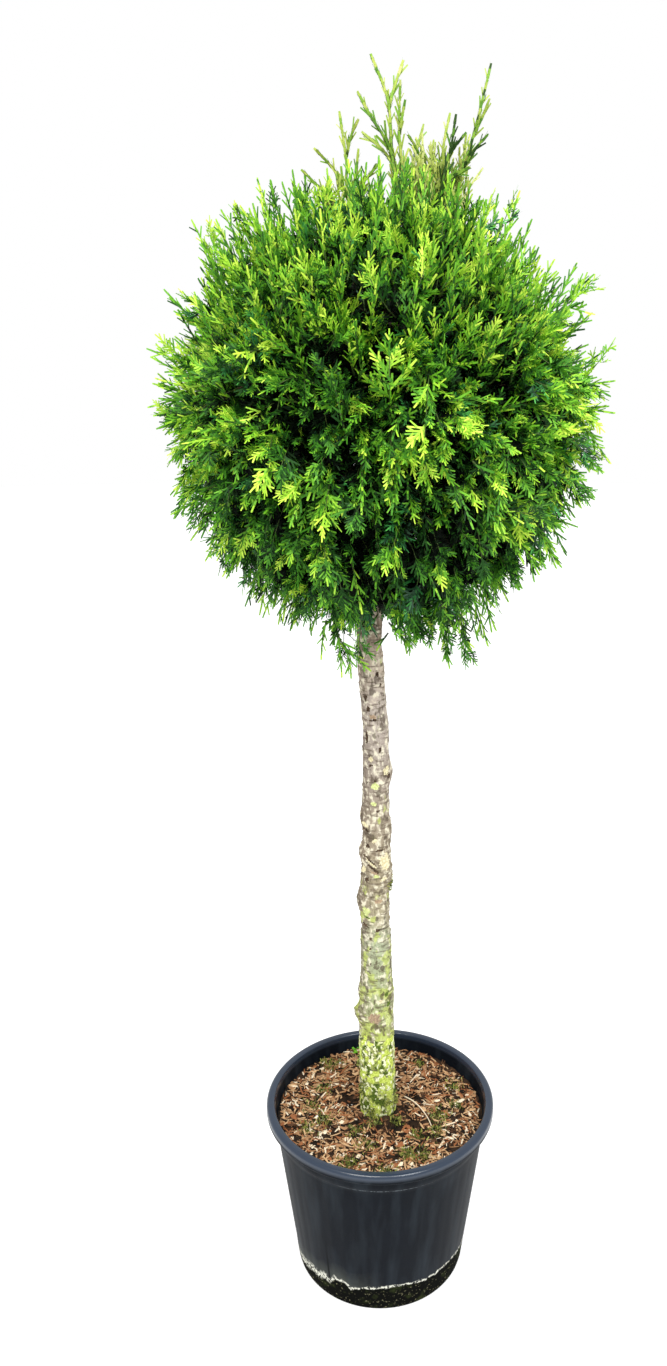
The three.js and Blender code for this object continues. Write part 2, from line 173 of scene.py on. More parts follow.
camera_data = bpy.data.cameras.new("camera")
camera_data.sensor_width = SENSOR
camera_data.lens = FOCAL_LENGTH_PIXELS * SENSOR / max(PICTURE_SIDES)
camera_data.shift_x = (PICTURE_SIDES[0] / 2 - PLANT_COLUMN) / max(PICTURE_SIDES)
camera = bpy.data.objects.new("camera", camera_data)
camera.location = (0, -CAMERA_DISTANCE, CAMERA_HEIGHT)
camera.rotation_euler = (math.radians(90 - CAMERA_PITCH), 0, 0)
bpy.context.scene.collection.objects.link(camera)
bpy.context.scene.camera = camera
print("lens", round(camera_data.lens, 2), "mm, shift", round(camera_data.shift_x, 4))

# %% [markdown]
# A plain studio: a wide pale floor, a white surround, a soft lamp high up in front on the left, and a
# smaller one on the right that draws the light line on the pot's rim. The Standard view keeps saturated
# greens as they are.

# %% Floor, surround and lamps
FLOOR_RADIUS = 14
FLOOR_SIDES = 64
SURROUND_STRENGTH = 1.0
FLOOR_GLOW = 0.3

scene = bpy.context.scene
scene.view_settings.view_transform = "Standard"
scene.view_settings.look = "None"
world = bpy.data.worlds.new("white_surround")
scene.world = world
world.use_nodes = True
world.node_tree.nodes.clear()
surround = add_node(world.node_tree, "ShaderNodeBackground", None, {
    "Color": (1, 1, 1, 1), "Strength": SURROUND_STRENGTH})
add_node(world.node_tree, "ShaderNodeOutputWorld", None, {"Surface": surround})


def add_lamp(name, place, target, size, power, colour):
    """A square area lamp at a place, turned towards a target."""
    lamp_data = bpy.data.lights.new(name, "AREA")
    lamp_data.size = size
    lamp_data.energy = power
    lamp_data.color = colour
    lamp = bpy.data.objects.new(name, lamp_data)
    lamp.location = place
    lamp.rotation_euler = (Vector(target) - Vector(place)).to_track_quat("-Z", "Y").to_euler()
    scene.collection.objects.link(lamp)


add_lamp("key_lamp", place=(-0.6, -1.6, 3.4), target=(0, 0, 1.1), size=1.2, power=60, colour=(1, 0.99, 0.95))
add_lamp("rim_lamp", place=(0.9, -1.5, 2.6), target=(0, 0, 0.5), size=0.8, power=34, colour=(0.94, 0.97, 1))

floor_mesh = bpy.data.meshes.new("floor")
floor_mesh.from_pydata([(FLOOR_RADIUS * math.cos(a), FLOOR_RADIUS * math.sin(a), 0)
                        for a in np.linspace(0, 2 * math.pi, FLOOR_SIDES, endpoint=False)], [],
                       [list(range(FLOOR_SIDES))])
floor = bpy.data.objects.new("floor", floor_mesh)
scene.collection.objects.link(floor)
floor_paint, tree, shader, place = new_finish("pale_studio_floor", 0.9, 0.1)
shader.inputs["Base Color"].default_value = linear("#f6f6f6")
shader.inputs["Emission Color"].default_value = (1, 1, 1, 1)
shader.inputs["Emission Strength"].default_value = FLOOR_GLOW
floor_mesh.materials.append(floor_paint)
print("floor", 2 * FLOOR_RADIUS, "m wide, lamps:", len(bpy.data.lights))

# %% [markdown]
# The pot is blow-moulded polypropylene: a thin tapered wall with a stiffening collar, and a lip rolled
# outwards for the hands. A turned outline gives all of it. The outline is drawn with arcs where the mould
# has them, and the wall carries shallow upright flutes, so that the light breaks up on it as it does on a
# real nursery pot.

# %% The pot's outline
POT_HEIGHT = 253
POT_FOOT_RADIUS = 118.8
POT_TAPER = 0.1256
POT_WALL = 2.6
POT_FLOOR = 4
FOOT_BEVEL = 4
LIP_RADIUS = 159.5
LIP_HEIGHT = 14
COLLAR_PROUD = 1.6
COLLAR_DROP = 19
POT_COLUMNS = 288


def wall_at(height):
    """The outer radius of the pot's plain wall at a height, in millimetres."""
    return POT_FOOT_RADIUS + POT_TAPER * height


def arc(middle, radius, start, end, steps):
    """Points on an arc of the outline, by angles in degrees."""
    angles = np.radians(np.linspace(start, end, steps))
    return [(middle[0] + radius * math.cos(a), middle[1] + radius * math.sin(a)) for a in angles]


# %% Round the outline
# It starts at the middle of the underside, goes up the outer side, over the lip, and down the inside.
ROLL = 5.2
FOOT_RING = 12
UNDERSIDE_RECESS = 1.5
lip_foot = POT_HEIGHT - LIP_HEIGHT
collar_foot = lip_foot - COLLAR_DROP
mouth = wall_at(POT_HEIGHT) - POT_WALL

outline = [(0, UNDERSIDE_RECESS), (60, UNDERSIDE_RECESS), (100, UNDERSIDE_RECESS)]
outline += [(POT_FOOT_RADIUS - FOOT_RING, UNDERSIDE_RECESS), (POT_FOOT_RADIUS - FOOT_RING + 1.5, 0)]
outline += arc((POT_FOOT_RADIUS - FOOT_BEVEL, FOOT_BEVEL), FOOT_BEVEL, -90, -5, 6)
outline += [(wall_at(z), z) for z in np.linspace(7, collar_foot - 1, 40)]
outline += [(wall_at(collar_foot) + 0.9, collar_foot + 0.2)]
outline += [(wall_at(z) + COLLAR_PROUD, z) for z in np.linspace(collar_foot + 1.4, lip_foot - 2.4, 4)]
outline += [(wall_at(lip_foot) + COLLAR_PROUD + 0.5, lip_foot - 0.8), (LIP_RADIUS - 6, lip_foot + 0.1)]
outline += arc((LIP_RADIUS - 3, lip_foot + 3), 3, -90, 0, 5)
outline += arc((LIP_RADIUS - ROLL, POT_HEIGHT - ROLL), ROLL, 0, 90, 8)
outline += arc((mouth + 3, POT_HEIGHT - 3), 3, 90, 180, 6)
outline += [(wall_at(z) - POT_WALL, z) for z in np.linspace(POT_HEIGHT - 8, POT_FLOOR, 14)]
outline += [(0, POT_FLOOR)]
outline = np.array(outline)
print("outline points:", len(outline), "widest", outline[:, 0].max(), "mm")

# %% [markdown]
# The turned wall is then pushed in and out by less than a millimetre. Flutes run up the plain wall and fade
# at the foot and under the collar, and a slow wave keeps the thin plastic from being a perfect cone. The
# part line of the mould runs down on the left of the front.

# %% The pot's mesh
FLUTES = 44
FLUTE_DEPTH = 0.35
PART_LINE_BEARING, PART_LINE_RISE = -119, 0.35
# The points of the outline that lie on its outer side, from the foot to the collar.
OUTER_POINTS = slice(8, 60)

bearing = np.linspace(0, 2 * math.pi, POT_COLUMNS, endpoint=False)
radius = outline[:, None, 0] * np.ones(POT_COLUMNS)
height = outline[:, None, 1] * np.ones(POT_COLUMNS)
plain_wall = smoothstep(height, 14, 40) * (1 - smoothstep(height, collar_foot - 22, collar_foot - 6))
outer = np.zeros(len(outline))
outer[OUTER_POINTS] = 1
plain_wall = plain_wall * outer[:, None]
flute = np.abs(np.sin(bearing * FLUTES / 2)) ** 0.6
part_line = np.exp(-((np.degrees(bearing) - (PART_LINE_BEARING % 360)) / 0.5) ** 2)
sag = 0.35 * np.sin(3 * bearing + 0.6) + 0.2 * np.sin(5 * bearing + height / 60)
radius += plain_wall * (-FLUTE_DEPTH * (1 - flute) + PART_LINE_RISE * part_line + sag)
points = np.stack([radius * np.cos(bearing), radius * np.sin(bearing), height], -1).reshape(-1, 3) * MM
pot_quads = ring_quads(len(outline), POT_COLUMNS)
print("pot faces:", len(pot_quads))

# %% [markdown]
# Moulded polypropylene, blue-black, a little scuffed. What it has met outdoors lies on it by place: a band
# of dried mud and algae that climbs the foot on the front and right, the pale crust where its water line
# dried, and dust. A painted sheen lies on the lip and a painted highlight along the front of the collar's
# edge. Each is a mask by height and bearing, broken up by noise of a real size. A colour ramp round the pot
# holds the height that the mud reaches, so that its edge can rise and fall.

# %% The pot's plastic, and where the mud ends
MUD_FROM, MUD_TO = -165, 40
# Bearing in degrees and the height in millimetres to which the mud reaches there.
MUD_HEIGHTS = [(-165, 20), (-152, 22), (-140, 32), (-134, 30), (-128, 36), (-124, 33), (-120, 43),
               (-113, 42), (-109, 34), (-99, 40), (-88, 44), (-77, 44), (-70, 43), (-59, 39), (-50, 41),
               (-38, 41), (-30, 39), (-25, 37), (-20, 35), (0, 36), (25, 30), (40, 20)]
HIGHEST_MUD = 60
# Bearings in degrees: where the crust's smear ends, where dust starts, the dark line and the painted
# highlight.
SMEAR_FROM, SMEAR_TO = -126, -112
DUST_FROM, DUST_TO = -88, -112
DARK_LINE_BEARING = -124
COLLAR_HIGHLIGHT_BEARING = -88

plastic, tree, shader, place = new_finish("moulded_polypropylene", 0.42, 0.3)
parts = add_node(tree, "ShaderNodeSeparateXYZ", None, {0: place})
turn = add_node(tree, "ShaderNodeMath", {"operation": "ARCTAN2"}, {
    0: parts.outputs["Y"], 1: parts.outputs["X"]})
blotch = add_node(tree, "ShaderNodeTexNoise", None, {"Vector": place, "Scale": grains(45.45), "Detail": 4})
grain = add_node(tree, "ShaderNodeTexNoise", None, {"Vector": place, "Scale": grains(3.333), "Detail": 3})
clod = add_node(tree, "ShaderNodeTexNoise", None, {"Vector": place, "Scale": grains(9.091), "Detail": 3})
share = add_node(tree, "ShaderNodeMapRange", None, {
    "Value": turn, "From Min": math.radians(MUD_FROM), "From Max": math.radians(MUD_TO)})
edge = add_node(tree, "ShaderNodeValToRGB", None, {"Fac": share})
steps = edge.color_ramp.elements
for number, (bearing_here, height_here) in enumerate(MUD_HEIGHTS):
    where = (bearing_here - MUD_FROM) / (MUD_TO - MUD_FROM)
    step = steps[0] if number == 0 else steps[-1] if number == len(MUD_HEIGHTS) - 1 else steps.new(where)
    step.position = where
    step.color = (*[height_here / HIGHEST_MUD] * 3, 1)
edge = add_node(tree, "ShaderNodeMath", {"operation": "MULTIPLY"}, {
    0: edge.outputs["Color"], 1: HIGHEST_MUD * MM})
wobble = add_node(tree, "ShaderNodeMapRange", None, {"Value": clod, "To Min": -0.004, "To Max": 0.004})
level = add_node(tree, "ShaderNodeMath", {"operation": "ADD"}, {0: parts.outputs["Z"], 1: wobble})
over = add_node(tree, "ShaderNodeMath", {"operation": "SUBTRACT"}, {0: level, 1: edge})
below = add_node(tree, "ShaderNodeMapRange", None, {"Value": over, "From Min": 0.0008, "From Max": -0.0008})
ragged = add_node(tree, "ShaderNodeMapRange", None, {"Value": clod, "To Min": -0.12, "To Max": 0.12})
turned = add_node(tree, "ShaderNodeMath", {"operation": "ADD"}, {0: turn, 1: ragged})
from_left = add_node(tree, "ShaderNodeMapRange", None, {
    "Value": turned, "From Min": math.radians(MUD_FROM + 1), "From Max": math.radians(MUD_FROM + 9)})
to_right = add_node(tree, "ShaderNodeMapRange", None, {
    "Value": turned, "From Min": math.radians(MUD_TO), "From Max": math.radians(MUD_TO - 40)})
spanned = add_node(tree, "ShaderNodeMath", {"operation": "MULTIPLY"}, {0: from_left, 1: to_right})
muddy = add_node(tree, "ShaderNodeMath", {"operation": "MULTIPLY"}, {0: below, 1: spanned})
print("points on the mud's edge:", len(MUD_HEIGHTS))

# %% [markdown]
# The crust is a broken pale line that follows the mud's edge: it lies wherever the distance from the edge is
# under 3 mm. Left of the part line it is a wide, scratched smear.

# %% The crust on the mud's edge
off_line = add_node(tree, "ShaderNodeMath", {"operation": "ABSOLUTE"}, {0: over})
narrow = add_node(tree, "ShaderNodeMapRange", None, {
    "Value": turned, "From Min": math.radians(SMEAR_FROM), "From Max": math.radians(SMEAR_TO),
    "To Min": 0.3, "To Max": 1})
off_line = add_node(tree, "ShaderNodeMath", {"operation": "MULTIPLY"}, {0: off_line, 1: narrow})
crust = add_node(tree, "ShaderNodeMapRange", None, {
    "Value": off_line, "From Min": 0.0028, "From Max": 0.0007})
broken = add_node(tree, "ShaderNodeMapRange", None, {"Value": grain, "From Min": 0.44, "From Max": 0.52})
crust = add_node(tree, "ShaderNodeMath", {"operation": "MULTIPLY"}, {0: crust, 1: broken})
crust = add_node(tree, "ShaderNodeMath", {"operation": "MULTIPLY"}, {0: crust, 1: spanned})

# %% [markdown]
# The clean plastic is blue-black and varies a little. Rain leaves upright streaks on it, dust lies above the
# crust on the left, and the line where the mould parts is dark near the foot.

# %% Streaks, dust and the part line
base = add_node(tree, "ShaderNodeMix", MIX_COLOURS, {
    MIX_FACTOR: blotch, MIX_A: linear("#090c11"), MIX_B: linear("#12171e")})
upright = add_node(tree, "ShaderNodeMapping", None, {"Vector": place, "Scale": (1, 1, 0.12)})
streak = add_node(tree, "ShaderNodeTexNoise", None, {"Vector": upright, "Scale": grains(18.18), "Detail": 5})
streaked = add_node(tree, "ShaderNodeMapRange", None, {
    "Value": streak, "From Min": 0.45, "From Max": 0.75, "To Max": 0.35})
base = add_node(tree, "ShaderNodeMix", MIX_COLOURS, {
    MIX_FACTOR: streaked, MIX_A: base, MIX_B: linear("#333b42")})
dust = add_node(tree, "ShaderNodeMapRange", None, {
    "Value": over, "From Min": 0.03, "From Max": 0.0, "To Max": 0.5})
on_left = add_node(tree, "ShaderNodeMapRange", None, {
    "Value": turned, "From Min": math.radians(DUST_FROM), "From Max": math.radians(DUST_TO)})
dust = add_node(tree, "ShaderNodeMath", {"operation": "MULTIPLY"}, {0: dust, 1: on_left})
dust = add_node(tree, "ShaderNodeMath", {"operation": "MULTIPLY"}, {0: dust, 1: blotch})
base = add_node(tree, "ShaderNodeMix", MIX_COLOURS, {
    MIX_FACTOR: dust, MIX_A: base, MIX_B: linear("#70746a")})
from_part = add_node(tree, "ShaderNodeMath", {"operation": "ADD"}, {
    0: turn, 1: math.radians(-DARK_LINE_BEARING)})
from_part = add_node(tree, "ShaderNodeMath", {"operation": "ABSOLUTE"}, {0: from_part})
part_line = add_node(tree, "ShaderNodeMapRange", None, {
    "Value": from_part, "From Min": 0.016, "From Max": 0.006})
low_down = add_node(tree, "ShaderNodeMapRange", None, {
    "Value": parts.outputs["Z"], "From Min": 0.11, "From Max": 0.07})
part_line = add_node(tree, "ShaderNodeMath", {"operation": "MULTIPLY"}, {0: part_line, 1: low_down})
base = add_node(tree, "ShaderNodeMix", MIX_COLOURS, {
    MIX_FACTOR: part_line, MIX_A: base, MIX_B: linear("#030405")})

# %% [markdown]
# The lip is painted lighter and bluer than the wall, a painted sheen of the rim. The mud is nearly black,
# with moss-green algae and pale grit in it. Each layer is mixed over the one before by its mask.

# %% The lip, the mud and the crust
lip_share = add_node(tree, "ShaderNodeMapRange", None, {
    "Value": parts.outputs["Z"], "From Min": (lip_foot + 4) * MM, "From Max": (lip_foot + 9) * MM})
# The lighter, bluer colour of the lip is a painted sheen.
lip_painted_sheen = add_node(tree, "ShaderNodeMix", MIX_COLOURS, {
    MIX_FACTOR: lip_share, MIX_A: base, MIX_B: linear("#202d3e")})
algae = add_node(tree, "ShaderNodeTexNoise", None, {"Vector": place, "Scale": grains(16.67), "Detail": 6})
algae_share = add_node(tree, "ShaderNodeMapRange", None, {
    "Value": algae, "From Min": 0.55, "From Max": 0.7})
mud = add_node(tree, "ShaderNodeMix", MIX_COLOURS, {
    MIX_FACTOR: algae_share, MIX_A: linear("#090a08"), MIX_B: linear("#262c16")})
specks = add_node(tree, "ShaderNodeMapRange", None, {"Value": grain, "From Min": 0.63, "From Max": 0.7})
mud = add_node(tree, "ShaderNodeMix", MIX_COLOURS, {
    MIX_FACTOR: specks, MIX_A: mud, MIX_B: linear("#6d6b52")})
dirty = add_node(tree, "ShaderNodeMix", MIX_COLOURS, {MIX_FACTOR: muddy, MIX_A: lip_painted_sheen, MIX_B: mud})
crusted = add_node(tree, "ShaderNodeMix", MIX_COLOURS, {
    MIX_FACTOR: crust, MIX_A: dirty, MIX_B: linear("#d2d2c4")})

# %% [markdown]
# A pale line along the front of the collar's edge is a painted highlight. The lip is smoother than the wall
# and the mud has no shine at all, so gloss follows the same masks.

# %% The painted highlight on the collar's edge, and the gloss
from_edge = add_node(tree, "ShaderNodeMath", {"operation": "SUBTRACT"}, {
    0: parts.outputs["Z"], 1: (collar_foot - 0.5) * MM})
from_edge = add_node(tree, "ShaderNodeMath", {"operation": "ABSOLUTE"}, {0: from_edge})
# A painted highlight: a pale line along the front of the collar's edge.
collar_highlight = add_node(tree, "ShaderNodeMapRange", None, {
    "Value": from_edge, "From Min": 0.0015, "From Max": 0.0003})
from_front = add_node(tree, "ShaderNodeMath", {"operation": "ADD"}, {
    0: turned, 1: math.radians(-COLLAR_HIGHLIGHT_BEARING)})
from_front = add_node(tree, "ShaderNodeMath", {"operation": "ABSOLUTE"}, {0: from_front})
in_front = add_node(tree, "ShaderNodeMapRange", None, {
    "Value": from_front, "From Min": 0.5, "From Max": 0.15, "To Max": 0.5})
collar_highlight = add_node(tree, "ShaderNodeMath", {"operation": "MULTIPLY"}, {0: collar_highlight, 1: in_front})
collar_highlight = add_node(tree, "ShaderNodeMath", {"operation": "MULTIPLY"}, {0: collar_highlight, 1: broken})
crusted = add_node(tree, "ShaderNodeMix", MIX_COLOURS, {
    MIX_FACTOR: collar_highlight, MIX_A: crusted, MIX_B: linear("#8b959c")})
tree.links.new(crusted.outputs[MIX_OUT], shader.inputs["Base Color"])
gloss = add_node(tree, "ShaderNodeMapRange", None, {"Value": lip_share, "To Min": 0.5, "To Max": 0.22})
rough = add_node(tree, "ShaderNodeMath", {"operation": "MAXIMUM"}, {0: gloss, 1: muddy})
tree.links.new(rough.outputs[0], shader.inputs["Roughness"])
shine = add_node(tree, "ShaderNodeMapRange", None, {"Value": lip_share, "To Min": 0.045, "To Max": 0.5})
tree.links.new(shine.outputs[0], shader.inputs["Specular IOR Level"])
bump = add_node(tree, "ShaderNodeBump", None, {"Strength": 0.12, "Distance": 0.0006, "Height": grain})
tree.links.new(bump.outputs["Normal"], shader.inputs["Normal"])

pot = piece_from_arrays("pot_shell", points, pot_quads, [plastic])
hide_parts("pot")
print("nodes in the pot's finish:", len(tree.nodes))

# %% [markdown]
# Potting mix is peat and composted bark that has settled under the rim. Its bed is one disc of rings with a
# lumpy surface and a few hollows round the foot of the trunk. The loose bark on top is made of real small
# pieces, because a bump map can't give the tangle of fibres and the dark gaps under them.

# %% The soil bed
SOIL_LEVEL = 231
SOIL_EDGE = wall_at(SOIL_LEVEL - 4) - POT_WALL - 0.4
# Hollows: right of the pot's axis, behind it, depth and reach.
SOIL_HOLLOWS = [(4, -14, -4, 32), (-43, 20, 11, 13), (19, -44, 8, 10), (46, -32, 8, 13), (47, 24, 7, 8),
                (-32, -32, 6, 10), (80, 71, 6, 9), (60, -60, 6, 9), (-62, -62, 5, 8), (112, 98, 5, 8)]


def soil_height(x, y):
    """The height of the soil at a place, all in millimetres."""
    from_axis = math.hypot(x, y)
    rise = -3 * smoothstep(from_axis, 34, SOIL_EDGE)
    rise += 5.5 * noise.fractal(Vector((x / 28, y / 28, 3.1)), 0.8, 2.0, 3)
    rise += 1.6 * noise.noise(Vector((x / 6, y / 6, 8.4)))
    for right, behind, depth, reach in SOIL_HOLLOWS:
        rise -= depth * math.exp(-((x - right) ** 2 + (y - behind) ** 2) / reach ** 2)
    return SOIL_LEVEL + rise


SOIL_RINGS, SOIL_SPOKES = 64, 150
radii = np.linspace(0, SOIL_EDGE, SOIL_RINGS)
spokes = np.linspace(0, 2 * math.pi, SOIL_SPOKES, endpoint=False)
points = []
for radius in radii:
    for spoke in spokes:
        x, y = radius * math.cos(spoke), radius * math.sin(spoke)
        points.append((x, y, soil_height(x, y)))
# The bed faces up, so its quads turn the other way.
soil_quads = ring_quads(SOIL_RINGS, SOIL_SPOKES)[:, [0, 3, 2, 1]]

# Moist peat: dark, matt and crumbly, with rusty specks of bark a few millimetres across.
peat, tree, shader, place, patch = mottled_finish(
    "moist_peat", roughness=0.95, specular=0.2, grain=16.67, detail=5, dark=linear("#120d09"),
    light=linear("#3c2b1d"), limits=(0.35, 0.65))
crumbs = add_node(tree, "ShaderNodeTexVoronoi", None, {"Vector": place, "Scale": grains(3.03)})
bump = add_node(tree, "ShaderNodeBump", None, {
    "Strength": 0.8, "Distance": 0.002, "Height": crumbs.outputs["Distance"]})
tree.links.new(bump.outputs["Normal"], shader.inputs["Normal"])
soil = piece_from_arrays("soil_bed", np.array(points) * MM, soil_quads, [peat])
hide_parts("potting_soil")
print("soil faces:", len(soil_quads))

# %% [markdown]
# Shredded bark lies on the peat as fibres and chips, up to 20 mm long and about 1 mm thick, in every
# direction. Each is a bent three-sided sliver. They are laid by arrays and joined into one piece, and each
# takes one of a few plain bark colours, from cream to nearly black: dry ones on top are pale, and those in
# the hollows and round the foot of the trunk are dark, a painted shade, and fewer lie there, so the peat
# shows.

# %% Bark chips on the soil
CHIPS = 4300
CHIP_LENGTHS = (6, 20)
CHIP_THICKNESS = (0.5, 1.3)
WIDE_CHIP_SHARE = 0.16
BARK_COLOURS = {"bark_cream": "#ead9bc", "bark_straw": "#cba67c", "bark_tan": "#a67d58",
                "bark_rust": "#97603c", "bark_brown": "#553a26", "bark_dark": "#1c140d"}
# How far from pale a chip is where the next colour starts.
SHADE_LIMITS = [-0.75, -0.2, 0.3, 0.62, 0.95]


def bark_finishes():
    """Dry shredded bark, torn along its grain: matt and fibrous, one material for each colour."""
    return [mottled_finish(name, roughness=0.9, specular=0.2, grain=1.111, detail=2,
                           dark=linear(colour, 0.72), light=linear(colour, 1.15))[0]
            for name, colour in BARK_COLOURS.items()]


def slivers(middles, headings, tilts, lengths, widths, heights, bends):
    """Bent three-sided slivers: 7 corners and 10 triangles each. Every array has one entry for each."""
    along = np.stack([np.cos(headings) * np.cos(tilts), np.sin(headings) * np.cos(tilts), np.sin(tilts)], -1)
    across = np.stack([-np.sin(headings), np.cos(headings), np.zeros_like(headings)], -1)
    up = np.cross(along, across)
    ends = [middles - along * lengths[:, None] / 2, middles + along * lengths[:, None] / 2]
    waist = middles + across * bends[:, None]
    ring = []
    for share_across, share_up in ((1, -0.5), (-1, -0.5), (0, 1)):
        sideways = across * (widths * share_across / 2)[:, None]
        ring.append(waist + sideways + up * (heights * share_up)[:, None])
    wide_ends = []
    for end in ends:
        wide_ends.append(end + across * (widths * 0.3)[:, None])
        wide_ends.append(end - across * (widths * 0.3)[:, None])
    corners = np.stack(ring + wide_ends, 1)
    pattern = np.array([[0, 1, 3], [1, 4, 3], [1, 2, 4], [2, 3, 4], [2, 0, 3],
                        [0, 5, 1], [1, 5, 6], [1, 6, 2], [2, 6, 5], [2, 5, 0]])
    faces = pattern[None] + 7 * np.arange(len(middles))[:, None, None]
    return corners.reshape(-1, 3), faces.reshape(-1, 3)


# %% Where the chips lie
draw = np.random.default_rng(5)
far = SOIL_EDGE * np.sqrt(draw.uniform(0.03, 1, CHIPS)) - 1
spot = draw.uniform(-math.pi, math.pi, CHIPS)
chip_x, chip_y = far * np.cos(spot), far * np.sin(spot)
hollow_shade = np.zeros(CHIPS)
for right, behind, depth, reach in SOIL_HOLLOWS:
    hollow_shade += np.exp(-((chip_x - right) ** 2 + (chip_y - behind) ** 2) / reach ** 2)
keep = (draw.random(CHIPS) > 0.75 * hollow_shade) & (far < SOIL_EDGE - 3)
chip_x, chip_y, hollow_shade = chip_x[keep], chip_y[keep], hollow_shade[keep]
count = len(chip_x)
chip_z = np.array([soil_height(x, y) for x, y in zip(chip_x, chip_y)]) + draw.uniform(-0.2, 2.6, count)
lengths = CHIP_LENGTHS[0] + (CHIP_LENGTHS[1] - CHIP_LENGTHS[0]) * draw.random(count) ** 1.6
widths = draw.uniform(1.2, 3.2, count)
wide = draw.random(count) < WIDE_CHIP_SHARE
widths[wide] *= 2.4
lengths[wide] *= 0.7
room = SOIL_EDGE - np.hypot(chip_x, chip_y)
lengths = np.minimum(lengths, 2 * room + 2)
points, faces = slivers(np.stack([chip_x, chip_y, chip_z], -1), draw.uniform(-math.pi, math.pi, count),
                        draw.normal(0, 0.16, count), lengths, widths, draw.uniform(*CHIP_THICKNESS, count),
                        draw.normal(0, 1.0, count))
# Chips are a little paler on the left and in front. Those in a hollow or round the foot of the trunk are
# darker, a painted shade, and fewer of them lie there.
paleness = -0.1 * chip_x / SOIL_EDGE - 0.08 * chip_y / SOIL_EDGE + draw.normal(-0.1, 0.7, count) - 1.1 * hollow_shade
shade = np.digitize(-paleness, SHADE_LIMITS)
chips = piece_from_arrays("bark_chips", points * MM, faces, bark_finishes(), np.repeat(shade, 10),
                          smooth=False)
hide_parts("potting_soil")
print("bark chips:", count, "faces:", len(faces))

# %% [markdown]
# The trunk is grown, not turned: its middle wanders, and burls and old branch collars stand out of it. The
# stations and knobs are the model's own. On top of them the mesh carries the bark: wrinkles that run round
# the stem, shallow long fissures, a deep crease where the graft healed, and a ring scar on the burl. All of
# it is in the mesh, because the outline of the trunk shows it.

# %% The trunk's stations and knobs
# Height, how far its middle is right of the pot's axis, how far behind it, and its radius, in millimetres.
TRUNK_STATIONS = np.array([
    (231.3, -2, 0, 26.4), (262, -3, 0, 24.8), (340, -4.5, 1, 24.2), (400, -4.2, 2, 22.6), (480, -5, 3, 20.4),
    (520, -6.6, 3, 19.2), (560, -7, 3, 18.8), (610, -4.6, 3, 19.6), (650, -5, 3, 17.6), (720, -5.2, 2, 16.8),
    (790, -5.1, 1, 16.3), (857, -10, 0, 16), (910, -13.5, 0, 15.4), (1000, -10, 0, 13.6), (1100, -2, 0, 11.4),
    (1220, 8, 0, 8.4), (1330, 17, 0, 5), (1405, 21, 0, 3.2)])
# Bearing in degrees (0 is right, -90 the front), height, rise and reach.
TRUNK_KNOBS = [(0, 741, 4, 14), (180, 678, 4, 13), (-10, 657, 3, 12), (195, 629, 5, 12),
               (-60, 610, 2.5, 14), (5, 590, 2.5, 12), (175, 557, 5, 15), (-120, 470, 2.5, 13),
               (180, 422, 3.5, 9), (190, 389, 8, 13), (-70, 350, 2.5, 16), (60, 500, 3.5, 16),
               (100, 700, 3.5, 15), (120, 590, 4, 15), (80, 410, 3.5, 17)]
RING_SCAR = (-128, 391, 7.5, 1.1)
CREASES = [(519, 1.3, 2.2), (527, 0.8, 1.8), (352, 0.7, 2), (598, 0.8, 2), (640, 0.7, 2)]
TRUNK_FOOT, CROWN_FOOT, TRUNK_TOP = 222, 905, 1405
TRUNK_COLUMNS = 120
FOOT_DRAWN_IN = 2.0


def trunk_station(column, height):
    """One column of the stations at a height, with no corner where two stretches meet."""
    stations = TRUNK_STATIONS[:, 0]
    after = np.clip(np.searchsorted(stations, height), 1, len(stations) - 1)
    low, high = TRUNK_STATIONS[after - 1], TRUNK_STATIONS[after]
    share = np.clip((height - low[..., 0]) / (high[..., 0] - low[..., 0]), 0, 1)
    eased = (share + share * share * (3 - 2 * share)) / 2
    return low[..., column] + (high[..., column] - low[..., column]) * eased


def arc_to(turn, bearing, radius):
    """The distance round the stem between a bearing in radians and one in degrees."""
    away = turn - math.radians(bearing)
    return np.arctan2(np.sin(away), np.cos(away)) * radius


# %% The rings of the trunk
bare_steps = np.arange(TRUNK_FOOT, CROWN_FOOT + 30, 1.6)
crown_steps = np.arange(bare_steps[-1] + 8, TRUNK_TOP, 9)
heights = np.concatenate([bare_steps, crown_steps, [TRUNK_TOP]])
turns = np.linspace(0, 2 * math.pi, TRUNK_COLUMNS, endpoint=False)
height, turn = np.meshgrid(heights, turns, indexing="ij")
radius = trunk_station(3, height)
# The stem draws in unevenly where it goes into the soil.
uneven = 1 + 0.5 * np.sin(3 * turn + 1) + 0.3 * np.sin(5 * turn)
radius -= FOOT_DRAWN_IN * np.exp(-(height - SOIL_LEVEL) / 10) * uneven
for bearing_of_knob, level, rise, reach in TRUNK_KNOBS:
    away = arc_to(turn, bearing_of_knob, radius)
    radius += rise * np.exp(-(away ** 2 + (height - level) ** 2) / reach ** 2)
for level, depth, reach in CREASES:
    drift = 1.8 * np.sin(turn + level) + 0.9 * np.sin(3 * turn + 2 * level)
    radius -= depth * np.exp(-((height - level - drift) / reach) ** 2)
away = arc_to(turn, RING_SCAR[0], radius)
from_ring = np.hypot(away, height - RING_SCAR[1]) - RING_SCAR[2]
radius += RING_SCAR[3] * np.exp(-(from_ring / 1.6) ** 2)


def bark_relief(x, y, z):
    """Small folds of the bark in millimetres: level wrinkles, long fissures and warts."""
    wrinkle_share = 0.35 + 0.65 * smoothstep(z, 400, 440) * (1 - smoothstep(z, 620, 680))
    wrinkle = noise.fractal(Vector((x / 26, y / 26, z / 3.4)), 0.9, 2.1, 3)
    fissure = noise.fractal(Vector((x / 5, y / 5, z / 34)), 0.9, 2.0, 3)
    lump = noise.noise(Vector((x / 13, y / 13, z / 17)))
    wart = max(0.0, noise.noise(Vector((x / 4.6, y / 4.6, z / 4.6 + 9))) - 0.32)
    return 1.0 * wrinkle_share * wrinkle + 0.7 * fissure + 1.3 * lump + 3 * wart


